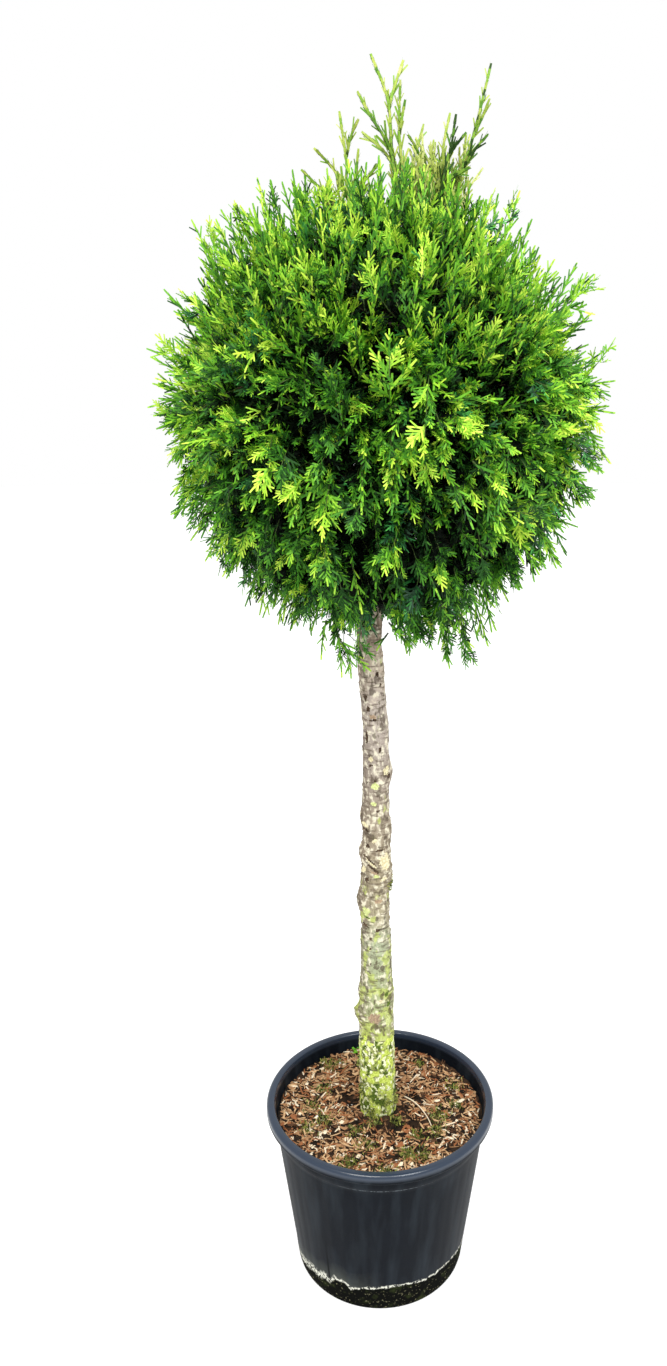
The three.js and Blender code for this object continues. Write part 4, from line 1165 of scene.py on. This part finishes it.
# %% Which sprays stay, and their tones
spray_tip = spray_root + spray_way * spray_size[:, None]
clear = np.ones(len(spray_root), bool)
for point in (spray_root, (spray_root + spray_tip) / 2, spray_tip):
    from_trunk = np.linalg.norm((point - trunk_middle(point[:, 2]))[:, :2], axis=1)
    clear &= from_trunk > trunk_station(3, point[:, 2]) + 4
lowest, highest = (np.array(corner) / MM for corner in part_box("clipped_ball"))
clear &= ((spray_tip > lowest - 4) & (spray_tip < highest + 4)).all(1)

VIGOROUS_SHARE = 0.22
TONE_MIDDLE, TONE_STRETCH, TONE_SHIFT = 2.35, 1.18, 1.72
DARKEST_OUTSIDE = 2.2

vigour = draw.normal(-0.1, 0.75, FRONDS) + 1.5 * (draw.random(FRONDS) < VIGOROUS_SHARE)
outness = np.linalg.norm(spray_tip - BALL_MIDDLE, axis=1) / clipped_radius(unit(spray_tip - BALL_MIDDLE))
outness = (outness - 0.86) / 0.1
upness = unit(spray_tip - BALL_MIDDLE)[:, 2]
# Depth, the inner layers, height, the sides and the tufts paint light and shade into the tone.
tone = 1.5 + 1.1 * np.clip(outness, -2.2, 1.0) + 2.0 * (spray_share - 0.65) + vigour[spray_frond]
tone += 0.5 * smoothstep(upness, 0.0, 0.7) - 1.5 * smoothstep(-upness, 0.1, 0.8) - 0.9 * layer_of[spray_frond]
tone += 1.6 * (clump(spray_tip) - 0.6) + draw.normal(0, 0.75, len(tone))
# Growth at the two sides gets the most light.
tone += 0.5 * smoothstep(np.abs(spray_tip[:, 0] - BALL_MIDDLE[0]), 150, 250)
# The stretch sets the lime tips further apart from the dark ground.
tone = TONE_SHIFT + TONE_STRETCH * (tone - TONE_MIDDLE)
# What stands out of the face is in the sun, so none of it is dark.
tone = np.where(outness > 0.7, np.maximum(tone, DARKEST_OUTSIDE), tone)
# Only the end of a frond turns lime as a whole.
spray_tone = np.clip(np.round(tone), -1, np.where(spray_share > 0.75, TONES - 2, TONES - 3)).astype(int)
slimness = draw.random(len(tone)) + 0.55 * smoothstep(upness, 0.25, 0.85) - 0.25 * smoothstep(-upness, 0, 0.5)
spray_kind = np.where(slimness > 0.95, "slim", np.where(slimness > 0.6, "feather", "fan"))
spray_kind = np.where(draw.random(len(tone)) < TUFT_SHARE, "tuft", spray_kind)
spray_kind = np.where(layer_of[spray_frond] > 0, "old", spray_kind)
spray_cool = (draw.random(FRONDS) < COOL_SHARE)[spray_frond] & (spray_share < 0.9)
print("sprays:", clear.sum(), "of", len(clear), "tones", np.bincount(spray_tone[clear] + 1))

# %% [markdown]
# The greens run from near black through deep green to lime. The dark ones are painted shade inside, under
# and between the tufts of the ball, and lime is the colour of the new tips. Scale leaves are waxy, so the
# gloss is broad and weak. Each green is a plain colour with a faint grain the size of the scales.

# %% The greens
FOLIAGE_TONES = [("shaded_scales", "#080f08"), ("deep_scales", "#12290f"), ("green_scales", "#204b17"),
                 ("mid_scales", "#42801f"), ("fresh_scales", "#6aac24"), ("yellow_green_scales", "#9cd032"),
                 ("lime_tips", "#cbee4c")]
COOL_FROM, COOL_TONES = 2, 3
BLUE_GREENS = [("deep_blue_green", "#123f20"), ("blue_green_scales", "#266c30"),
               ("pale_blue_green", "#48a044")]
FINGER_TONES = [-1, 0, 0, 0, 0, 1, 1]
SCALE_LEAF = 1.8


def scale_leaf_finish(name, colour, specular=0.3):
    """Living scale leaves: a plain green, waxy, with the small steps of overlapping scales."""
    green, tree, shader, place = new_finish(name, 0.55, specular)
    scales = add_node(tree, "ShaderNodeTexVoronoi", None, {"Vector": place, "Scale": grains(SCALE_LEAF)})
    tint = add_node(tree, "ShaderNodeMix", MIX_COLOURS, {
        MIX_FACTOR: scales.outputs["Distance"], MIX_A: linear(colour, 1.1), MIX_B: linear(colour, 0.75)})
    tree.links.new(tint.outputs[MIX_OUT], shader.inputs["Base Color"])
    return green


greens = [scale_leaf_finish(name, colour, 0.06 + 0.05 * number)
          for number, (name, colour) in enumerate(FOLIAGE_TONES + BLUE_GREENS)]
print("greens of the ball:", len(greens))

# %% [markdown]
# Thousands of sprays share a few templates. Laying them out by arrays, template by template, takes a second
# where single objects would take minutes. Half of them are mirrored, so that no two neighbours look alike.

# %% Sprays laid from templates
def lay_sprays(roots, ways, facings, sizes, kinds, tones, draw, top_tone, cool=None):
    """Sprays as corners, triangles and a material for each triangle. Cool ones take the blue-greens."""
    cool = np.zeros(len(roots), bool) if cool is None else cool
    across = unit(np.cross(ways, facings))
    face = np.cross(across, ways)
    pick = draw.integers(0, TEMPLATES_OF_A_KIND, len(roots))
    mirror = np.where(draw.random(len(roots)) < 0.5, 1.0, -1.0)
    all_points, all_faces, all_tones, all_cool, start = [], [], [], [], 0
    for kind, group in templates.items():
        for number, (corners, faces, at_tip) in enumerate(group):
            chosen = np.flatnonzero((kinds == kind) & (pick == number))
            if len(chosen) == 0:
                continue
            scaled = corners[None] * sizes[chosen, None, None]
            placed = roots[chosen, None] + scaled[..., 0:1] * (across[chosen] * mirror[chosen, None])[:, None]
            placed = placed + scaled[..., 1:2] * ways[chosen, None] + scaled[..., 2:3] * face[chosen, None]
            turned = np.where(mirror[chosen, None, None] > 0, faces[None], faces[None, :, ::-1])
            all_points.append(placed.reshape(-1, 3))
            first_corners = start + len(corners) * np.arange(len(chosen))
            all_faces.append((turned + first_corners[:, None, None]).reshape(-1, 3))
            of_finger = draw.choice(FINGER_TONES, (len(chosen), len(faces) // 2))
            all_tones.append((tones[chosen, None] + at_tip[None] + np.repeat(of_finger, 2, axis=1)).ravel())
            all_cool.append(np.repeat(cool[chosen], len(faces)))
            start += placed.shape[0] * placed.shape[1]
    tones = np.clip(np.concatenate(all_tones), 0, top_tone)
    turned_cool = np.concatenate(all_cool) & (tones >= COOL_FROM) & (tones < COOL_FROM + COOL_TONES)
    tones = np.where(turned_cool, tones - COOL_FROM + TONES, tones)
    return np.concatenate(all_points), np.concatenate(all_faces), tones


# %% [markdown]
# Joined pieces stay under 200,000 triangles each, so the sprays of the ball are dealt out to several pieces,
# slice by slice round the plant. Boughs, twigs and sprays are pieces of their own, each with its own finish.

# %% The crown's pieces
SPRAY_PIECES = 6

draw = np.random.default_rng(59)
order = np.flatnonzero(clear)
sector = np.arctan2(spray_tip[order, 1], spray_tip[order, 0])
order = order[np.argsort(sector, kind="stable")]
for number, chosen in enumerate(np.array_split(order, SPRAY_PIECES)):
    points, faces, tones = lay_sprays(spray_root[chosen], spray_way[chosen], spray_facing[chosen],
                                      spray_size[chosen], spray_kind[chosen], spray_tone[chosen], draw,
                                      TONES - 1, spray_cool[chosen])
    sprays = piece_from_arrays(f"crown_sprays_{number + 1}", points * MM, faces, greens, tones)
    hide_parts("clipped_ball")
    print(sprays.name, "triangles:", len(faces))

# %% Boughs and twigs
# Young conifer bark: grey-brown, smooth and dull, with rusty patches where scale leaves fell.
twig_bark, tree, shader, place, patch = mottled_finish(
    "young_conifer_bark", roughness=0.8, specular=0.25, grain=11.11, detail=4, dark=linear("#33271a"),
    light=linear("#6a5640"))
bump = add_node(tree, "ShaderNodeBump", None, {"Strength": 0.4, "Distance": 0.001, "Height": patch})
tree.links.new(bump.outputs["Normal"], shader.inputs["Normal"])
# Green stalks: still covered by flat scale leaves, grey-green and waxy.
stalk_green = mottled_finish(
    "scaled_green_stalk", roughness=0.6, specular=0.3, grain=16.67, detail=3, dark=linear("#2c4718"),
    light=linear("#5c7034"))[0]

wood = piece_from_arrays("crown_boughs", np.concatenate([bough_points, limb_points]) * MM,
                         np.concatenate([bough_faces, limb_faces + len(bough_points)]), [twig_bark])
twigs = piece_from_arrays("crown_twigs", np.concatenate([twig_points, stalk_points]) * MM,
                          np.concatenate([twig_faces, stalk_faces + len(twig_points)]),
                          [twig_bark, stalk_green],
                          np.repeat([0, 1], [len(twig_faces), len(stalk_faces)]))
for piece in (wood, twigs):
    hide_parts("clipped_ball")
print("faces of boughs and twigs:", len(wood.data.polygons), len(twigs.data.polygons))

# %% [markdown]
# Long shoots that the shears missed stand above the ball, and shorter ones all over it. Each is a green stem
# wrapped in pairs of pressed scale leaves, which make it plump and give it a serrated edge, with a darker
# joint every centimetre or so and short fingers by turns left and right. The long ones follow the model's
# own ways, so each replaces its node.

# %% A leafy shoot
SCALE_STEP = 3.2
SCALE_LENGTH = 8.5
JOINT_SPACING = 13
JOINT_LENGTH = 3.3
FINGER_STEP = 7.5
FINGER_ANGLE = 0.5
SHOOT_TONES = [("shaded_shoot", "#2c4c16"), ("olive_shoot", "#548424"), ("green_shoot", "#7ca634"),
               ("pale_shoot", "#9ab046"), ("yellow_green_shoot", "#b0be58"), ("pale_tip", "#c6ce7c")]


def smooth_path(way_points):
    """A smooth curve through way points, as points about 6 mm apart."""
    way = np.array(way_points, float)
    padded = np.concatenate([[2 * way[0] - way[1]], way, [2 * way[-1] - way[-2]]])
    share = np.linspace(0, 1, 20)[:, None]
    parts = []
    for before, start, end, after in zip(padded, padded[1:], padded[2:], padded[3:]):
        parts.append(0.5 * (2 * start + (end - before) * share
                            + (2 * before - 5 * start + 4 * end - after) * share ** 2
                            + (3 * start - before - 3 * end + after) * share ** 3))
    points = np.concatenate(parts)
    gone = np.concatenate([[0], np.cumsum(np.linalg.norm(np.diff(points, axis=0), axis=1))])
    even = np.linspace(0, gone[-1], max(int(gone[-1] / 6), 5))
    return np.stack([np.interp(even, gone, points[:, axis]) for axis in range(3)], -1)


def leafy_shoot(path, radius, draw, tone=3.0, fingers=(20, 11), bare_within=0.93, scale=SCALE_LENGTH,
                step=FINGER_STEP):
    """The leaves of one shoot: rows of root, way, facing, size, kind and tone."""
    gone = np.concatenate([[0], np.cumsum(np.linalg.norm(np.diff(path, axis=0), axis=1))])
    total = gone[-1]

    def at(distance):
        return np.array([np.interp(distance, gone, path[:, axis]) for axis in range(3)])

    rows = []
    side = 1 if draw.random() < 0.5 else -1
    next_finger = step * draw.uniform(0.6, 1.4)
    for number, distance in enumerate(np.arange(2, total - 4, SCALE_STEP)):
        root = at(distance)
        if np.linalg.norm(root - BALL_MIDDLE) < BALL_RADIUS * bare_within:
            continue
        along = unit(at(min(distance + 3, total)) - at(max(distance - 3, 0)))
        across = unit(np.cross([0, -1.0, 0], along))
        other = np.cross(along, across)
        away = (across, other)[number % 2]
        thick = np.interp(distance, [0, total], radius)
        shade = tone - 1.4 * (distance % JOINT_SPACING < JOINT_LENGTH) + 0.9 * (distance / total - 0.5)
        for sign in (-1, 1):
            way = unit(along + sign * away * draw.uniform(0.16, 0.3))
            rows.append((root + sign * away * thick * 0.6, way, sign * away + 0.2 * along,
                         scale * draw.uniform(0.85, 1.15), "scale", shade + draw.normal(0, 0.4)))
        if distance >= next_finger and distance < total - 12:
            roll = draw.uniform(-0.9, 0.9)
            spread_way = across * math.cos(roll) + other * math.sin(roll)
            angle = FINGER_ANGLE * draw.uniform(0.6, 1.25)
            way = along * math.cos(angle) + spread_way * side * math.sin(angle)
            size = np.interp(distance, [0, total], fingers) * draw.uniform(0.7, 1.2)
            rows.append((root, way, np.cross(way, spread_way) * side, size, "finger",
                         tone + draw.uniform(-0.6, 1.1)))
            if size > 13:
                rows.append((root + way * size * 0.35, unit(way + along * 0.5 - spread_way * side * 0.5),
                             (0, -1, 0.1), size * 0.5, "finger", tone + draw.uniform(-0.6, 1.1)))
            side = -side
            next_finger = distance + step * draw.uniform(0.7, 1.3)
    end_way = unit(path[-1] - path[-3])
    rows.append((path[-1] - end_way * 13, end_way, (0.3, -1, 0.1), 14, "finger", tone + 1))
    return rows


def piece_of_leaves(name, rows, finishes, draw):
    """One joined piece from rows of root, way, facing, size, kind and tone."""
    roots, ways, facings, sizes, kinds, tones = zip(*rows)
    points, faces, tones = lay_sprays(np.array(roots), unit(np.array(ways)), unit(np.array(facings)),
                                      np.array(sizes), np.array(kinds),
                                      np.round(np.array(tones)).astype(int), draw, len(finishes) - 1)
    return piece_from_arrays(name, points * MM, faces, finishes, tones)


def piece_of_stems(name, paths, radii, sides):
    """One joined piece of green stems, from a list of paths with the radii at foot and tip of each."""
    parts, start = [], 0
    for path, radius in zip(paths, radii):
        points, faces = tubes(path[None], np.linspace(*radius, len(path))[None], sides)
        parts.append((points, faces + start))
        start += len(points)
    return piece_from_arrays(name, np.concatenate([part[0] for part in parts]) * MM,
                             np.concatenate([part[1] for part in parts]), [stalk_green])


# %% [markdown]
# The long shoots lean apart above the ball and cross one another. Each is a way of a few points that a
# smooth curve joins. Round their feet stands a thicket of short young growth.

# %% The long shoots
# The ways and the radii at foot and tip are the model's own, in millimetres. The last value is the shoot's
# tone.
SHOOTS = {
    "leader_shoots": [
        ([(21, 0, 1405.3), (20, 0, 1424), (13, -2, 1460), (8.7, -4, 1510), (-8.6, -6, 1552)],
         (2.9, 0.9), 2.9),
        ([(9.4, -3.5, 1500), (14, -2, 1520), (24.7, 2, 1550)], (1.8, 0.9), 3.2),
        ([(20, 1, 1420), (24, 6, 1446), (21, 7, 1483), (22, 10, 1532)], (2.4, 0.9), 3.0),
        ([(22, 7, 1480), (24, 5, 1496), (27, 3, 1511)], (1.4, 0.8), 2.4),
        ([(16, -2, 1452), (6, -8, 1472), (-10, -15, 1493), (-23, -18, 1514)], (1.8, 0.8), 2.2),
        ([(17, -1, 1444), (4, 4, 1463), (-18, 16, 1483)], (1.7, 0.8), 3.0)],
    "right_top_shoots": [
        ([(10, 0, 1250), (46, 2, 1340), (76, 4, 1420), (91, 6, 1446), (104, 8, 1484), (120, 10, 1549)],
         (4.4, 0.9), 2.4),
        ([(64, 3, 1394), (71, -8, 1442), (77, -12, 1464), (81, -16, 1491)], (2.4, 0.9), 0.4),
        ([(74, -10, 1452), (81, -16, 1463), (90, -21, 1473)], (1.5, 0.8), 1.2),
        ([(72, 4, 1412), (71, 6, 1440), (70, 8, 1468), (76, 12, 1499)], (2.2, 0.9), 3.2),
        ([(89, 6, 1442), (102, 0, 1461), (117, -8, 1477)], (1.8, 0.8), 1.0),
        ([(70, -4, 1428), (83, -8, 1437), (98, -14, 1443)], (1.6, 0.8), 1.4),
        ([(102, 8, 1478), (111, 2, 1495), (118, -4, 1512)], (1.4, 0.8), 3.0)],
    "left_top_shoots": [
        ([(8, 0, 1220), (-14, 4, 1330), (-36, 8, 1420), (-37, 9, 1452), (-44, 12, 1500)], (4, 0.9), 3.1),
        ([(-37, 9, 1458), (-32, 4, 1477), (-24, 0, 1492)], (1.7, 0.8), 2.6),
        ([(-35, 8, 1414), (-48, 0, 1440), (-68, -14, 1459)], (1.9, 0.8), 2.8),
        ([(-34, 8, 1408), (-27, 6, 1440), (-24, 6, 1463)], (1.8, 0.8), 2.6),
        ([(-32, 8, 1404), (-22, -8, 1424), (-1, -16, 1447)], (1.8, 0.8), 3.0),
        ([(-31, 8, 1396), (-54, -12, 1412), (-82, -26, 1436)], (2, 0.8), 2.6)],
    "back_top_shoots": [
        ([(12, 0, 1280), (22, 30, 1350), (34, 50, 1420), (38, 56, 1458), (49, 64, 1500)], (3.6, 0.9), 3.2),
        ([(36, 54, 1436), (50, 57, 1454), (42, 50, 1474), (32, 46, 1488)], (1.8, 0.8), 2.0),
        ([(34, 50, 1420), (56, 58, 1444), (62, 63, 1472)], (1.9, 0.8), 2.8)],
}
# Young growth crowds the feet of the long shoots: node, the two ends of the row that it stands on, how many,
# and how tall at most.
THICKETS = [("right_top_shoots", (46, 6, 1408), (84, 6, 1406), 32, 74),
            ("back_top_shoots", (26, 44, 1412), (74, 48, 1410), 26, 60),
            ("leader_shoots", (12, -4, 1408), (42, 10, 1410), 10, 44),
            ("left_top_shoots", (-62, -6, 1400), (-16, 4, 1404), 12, 30)]

shoot_greens = [scale_leaf_finish(name, colour) for name, colour in SHOOT_TONES]
draw = np.random.default_rng(71)
for node, stems in SHOOTS.items():
    rows, paths, radii = [], [], []
    for way, radius, tone in stems:
        paths.append(smooth_path(way))
        radii.append(radius)
        rows += leafy_shoot(paths[-1], radius, draw, tone - 0.5)
    for owner, start, end, count, tallest in THICKETS:
        for _ in range(count if owner == node else 0):
            foot = np.array(start) + draw.random() * (np.array(end, float) - start) + draw.normal(0, 5, 3)
            height = tallest * draw.uniform(0.45, 1)
            tip = foot + [height * draw.normal(0.02, 0.28), height * draw.normal(0, 0.2), height]
            paths.append(smooth_path([foot - [0, 0, 14], (foot + tip) / 2 + draw.normal(0, 2, 3), tip]))
            radii.append((1.6, 0.8))
            rows += leafy_shoot(paths[-1], (1.4, 0.7), draw, draw.uniform(2.0, 4.6), (18, 9), 0.9, 6.5, 6.5)
    leaves = piece_of_leaves(node.replace("shoots", "scale_leaves"), rows, shoot_greens, draw)
    stem = piece_of_stems(node.replace("shoots", "stems"), paths, radii, 5)
    for piece in (leaves, stem):
        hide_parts(node)
    print(node, "shoots:", len(paths), "triangles:", len(leaves.data.polygons))

# %% [markdown]
# The shorter missed shoots grow by the frond rule, from inside the ball to at most 3 cm outside the clipped
# face. They are more and longer round the top, where the plant grows fastest. Some give the outline its
# spikes, and a few hang round the trunk, where the lowest boughs leave it.

# %% Where missed shoots end
MISSED_SHOOTS = 560
MISSED_REACH = (6, 30)
MISSED_LENGTH, SPIKE_LENGTH = 62, 82
HANGING_SHOOTS = [[(-47, -62, 927), (-39, -54, 913), (-30, -44, 903), (-21, -36, 891), (-12, -30, 881)],
                  [(-49, -56, 933), (-47, -52, 902), (-46, -50, 879)],
                  [(-42, -52, 918), (-36, -50, 895), (-35, -48, 877)],
                  [(-63, -60, 950), (-68, -58, 925), (-70, -56, 903)],
                  [(10, -30, 928), (2, -31, 917), (-4, -30, 907)],
                  [(10, -44, 944), (24, -46, 928), (35, -48, 913)],
                  [(21, -40, 940), (29, -42, 921), (32, -44, 906)],
                  [(-2, -50, 956), (-8, -52, 946), (-12, -50, 938)],
                  [(91, -20, 950), (99, -24, 934), (108, -26, 916)],
                  [(117, -10, 951), (122, -14, 935), (125, -16, 919)],
                  [(72, -30, 940), (79, -35, 912), (84, -38, 886)],
                  [(84, -22, 945), (100, -27, 925), (111, -30, 905)]]

# The spikes of the outline, by how far their tips are right of the pot's axis and how high.
OUTLINE_TIPS = [(-259, 1167), (-255, 1088), (-251, 1060), (-231, 1034), (-211, 1012), (-189, 989),
                (-162, 961), (-147, 947), (-126, 932), (-109, 928), (-84, 926), (-59, 904), (83, 884),
                (110, 898), (131, 911), (155, 964), (173, 972), (194, 999), (229, 1015), (258, 1086),
                (266, 1116), (268, 1128), (262, 1152), (266, 1192), (266, 1220), (258, 1253), (240, 1294),
                (240, 1335), (208, 1335), (193, 1349), (173, 1360), (156, 1382), (151, 1417), (103, 1421),
                (-82, 1438), (-89, 1427), (-108, 1430), (-133, 1430), (-150, 1398), (-180, 1406),
                (-209, 1391), (-201, 1375), (-204, 1344), (-240, 1317), (-232, 1268), (-265, 1255),
                (-268, 1191)]


def missed_shoot(tip, length, sideways, draw):
    """The path of a shoot to a tip, by the frond rule."""
    way = unit(tip - BALL_MIDDLE)
    lift_here = SPRAY_LIFT[0] + (SPRAY_LIFT[1] - SPRAY_LIFT[0]) * smoothstep(way[2], *LIFT_TURN)
    grow = way + sideways * draw.standard_normal(3)
    grow[2] += lift_here * draw.uniform(0.1, 0.8)
    root = tip - unit(grow) * length
    return smooth_path([root, (root + tip) / 2 - [0, 0, 5 * lift_here], tip])


# %% The missed shoots
draw = np.random.default_rng(83)
rows, paths = [], []
for way in unit(draw.standard_normal((MISSED_SHOOTS, 3)) + [0, 0, 0.3]):
    rise = smoothstep(way[2], -0.2, 0.7)
    tip = BALL_MIDDLE + way * (clipped_radius(way) + draw.uniform(*MISSED_REACH) * (0.6 + 0.4 * rise))
    paths.append(missed_shoot(np.clip(tip, lowest + 3, highest - 3), MISSED_LENGTH, 0.24, draw))
    tone = 2.9 + 0.7 * rise + draw.normal(0, 0.7)
    rows += leafy_shoot(paths[-1], (1.0, 0.6), draw, tone, (17, 9), 0.86, 5.2, 5.2)
for right, height in OUTLINE_TIPS:
    for shorter in (0, 9, 16):
        tip = np.array([right, draw.uniform(-30, 30), height]) + (shorter > 0) * draw.normal(0, 9, 3)
        tip -= unit(tip - BALL_MIDDLE) * shorter
        paths.append(missed_shoot(np.clip(tip, lowest - 4, highest + 4), SPIKE_LENGTH, 0.12, draw))
        rows += leafy_shoot(paths[-1], (1.2, 0.7), draw, draw.uniform(2.6, 4.2), (20, 10), 0.84, 5.8, 5.6)
for way in HANGING_SHOOTS:
    paths.append(smooth_path(way))
    rows += leafy_shoot(paths[-1], (1.2, 0.7), draw, 3.6, (17, 11), 0, 5.6, 5.5)
missed = piece_of_leaves("missed_scale_leaves", rows, greens[:TONES], draw)
stems = piece_of_stems("missed_stems", paths, [(1.2, 0.7)] * len(paths), 3)
for piece in (missed, stems):
    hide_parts("clipped_ball")
print("missed shoots:", len(paths), "triangles:", len(missed.data.polygons))

# %% [markdown]
# Last come the small things that settle in a pot: cushions of moss on the peat and on the trunk, a seedling
# weed at the back of the rim, grains of perlite, and one fallen twig.

# %% Where the small things lie
# Cushions: right of the pot's axis, behind it, reach and how many leaves.
MOSS_CUSHIONS = [(-82, 44, 14, 150), (-77, -24, 12, 110), (-100, -44, 14, 130), (-43, -108, 18, 190),
                 (82, -18, 16, 200), (37, -92, 14, 200), (56, -94, 13, 150), (109, 52, 12, 110),
                 (-78, 92, 12, 90), (-18, -78, 14, 130), (51, -56, 12, 130), (76, -50, 13, 130),
                 (-98, 4, 13, 120), (-64, 100, 10, 70), (7, -122, 14, 120), (-34, -50, 13, 120),
                 (-84, 104, 10, 60), (106, 8, 10, 80), (60, 104, 8, 60), (-8, -34, 11, 110),
                 (24, -30, 9, 80)]
WEED = (-34, 133)
PERLITE = [(9, -12), (-46, 14), (-40, 16), (58, 40), (-88, -22), (22, -104), (96, 46), (-60, 96), (-12, -70)]
FALLEN_TWIG = [(33, 22, 234), (46, 8, 237), (57, -6, 236), (67, -26, 234), (73, -50, 233)]
STEM_MOSS = [(-12, 579, 60), (8, 586, 30), (-150, 272, 60), (-60, 258, 70), (-110, 244, 80), (-20, 254, 60),
             (175, 306, 40)]
MOSS_TONES = [("moss_shade", "#3e4a1c"), ("moss_green", "#70783a"), ("moss_tip", "#a4a852")]

# %% The moss and the weed
mosses = [scale_leaf_finish(name, colour) for name, colour in MOSS_TONES]
draw = np.random.default_rng(97)
rows = []
for right, behind, reach, leaves in MOSS_CUSHIONS:
    for _ in range(leaves):
        x, y = right + draw.normal(0, reach * 0.5), behind + draw.normal(0, reach * 0.5)
        if math.hypot(x, y) > SOIL_EDGE - 2:
            continue
        root = (x, y, soil_height(x, y) + draw.uniform(0, 2.2))
        rows.append((root, (draw.normal(0, 0.6), draw.normal(0, 0.6), 1), draw.normal(0, 1, 3),
                     draw.uniform(2.5, 5.5), "scale", draw.uniform(-0.4, 2.4)))
for degrees, level, leaves in STEM_MOSS:
    for _ in range(leaves):
        z = level + draw.normal(0, 3.5)
        stem_radius = trunk_station(3, z)
        turn = math.radians(degrees) + draw.normal(0, 3.5) / stem_radius
        out_way = np.array([math.cos(turn), math.sin(turn), 0])
        root = trunk_middle(z) + out_way * (stem_radius + 0.8)
        rows.append((root, out_way + draw.normal(0, 0.6, 3), draw.normal(0, 1, 3),
                     draw.uniform(2.5, 4.5), "scale", draw.uniform(0.2, 2.4)))
moss = piece_of_leaves("moss_cushions", rows, mosses, draw)
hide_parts("potting_soil")

rows = []
for leaf in range(9):
    turn = leaf * 2.4
    root = (WEED[0] + draw.normal(0, 2), WEED[1] + draw.normal(0, 2), soil_height(*WEED) + 1)
    rows.append((root, (math.cos(turn), math.sin(turn), draw.uniform(0.5, 1.4)), (0, 0, 1),
                 draw.uniform(8, 14), "leaf", draw.uniform(2, 4)))
weed = piece_of_leaves("seedling_weed", rows, greens, draw)
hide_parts("potting_soil")
print("moss leaves:", len(moss.data.polygons) // 2)

# %% [markdown]
# Perlite grains are lumps, so each is the hull of a few scattered points, and no two are alike. The fallen
# twig is a tube along a bent path.

# %% Perlite and the fallen twig
# Perlite: volcanic glass blown into white grains, matt and pitted.
perlite_white = mottled_finish(
    "blown_perlite", roughness=0.9, specular=0.3, grain=0.8333, detail=2, dark=linear("#c9c5ba"),
    light=linear("#f2efe8"))[0]
ball_ways = spread(26)
grain_points = []
for x, y in PERLITE:
    size = draw.uniform(1.1, 2.0)
    lumps = ball_ways * (1 + 0.22 * draw.standard_normal((len(ball_ways), 1)))
    grain_points.append(lumps * size + [x, y, soil_height(x, y) + 2.2])
hulls = bpy.data.meshes.new("perlite_grains")
shape = bmesh.new()
for grain in grain_points:
    corners = [shape.verts.new(Vector(corner) * MM) for corner in grain]
    bmesh.ops.convex_hull(shape, input=corners)
shape.to_mesh(hulls)
shape.free()
hulls.materials.append(perlite_white)
perlite = bpy.data.objects.new("perlite_grains", hulls)
scene.collection.objects.link(perlite)
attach(perlite, "root")
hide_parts("potting_soil")

path = smooth_path(FALLEN_TWIG)
points, faces = tubes(path[None], np.linspace(1.1, 0.6, len(path))[None], 6)
fallen = piece_from_arrays("fallen_twig", points * MM, faces, bark_finishes()[:1])
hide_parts("potting_soil")
print("grains:", len(PERLITE), "faces of the fallen twig:", len(faces))
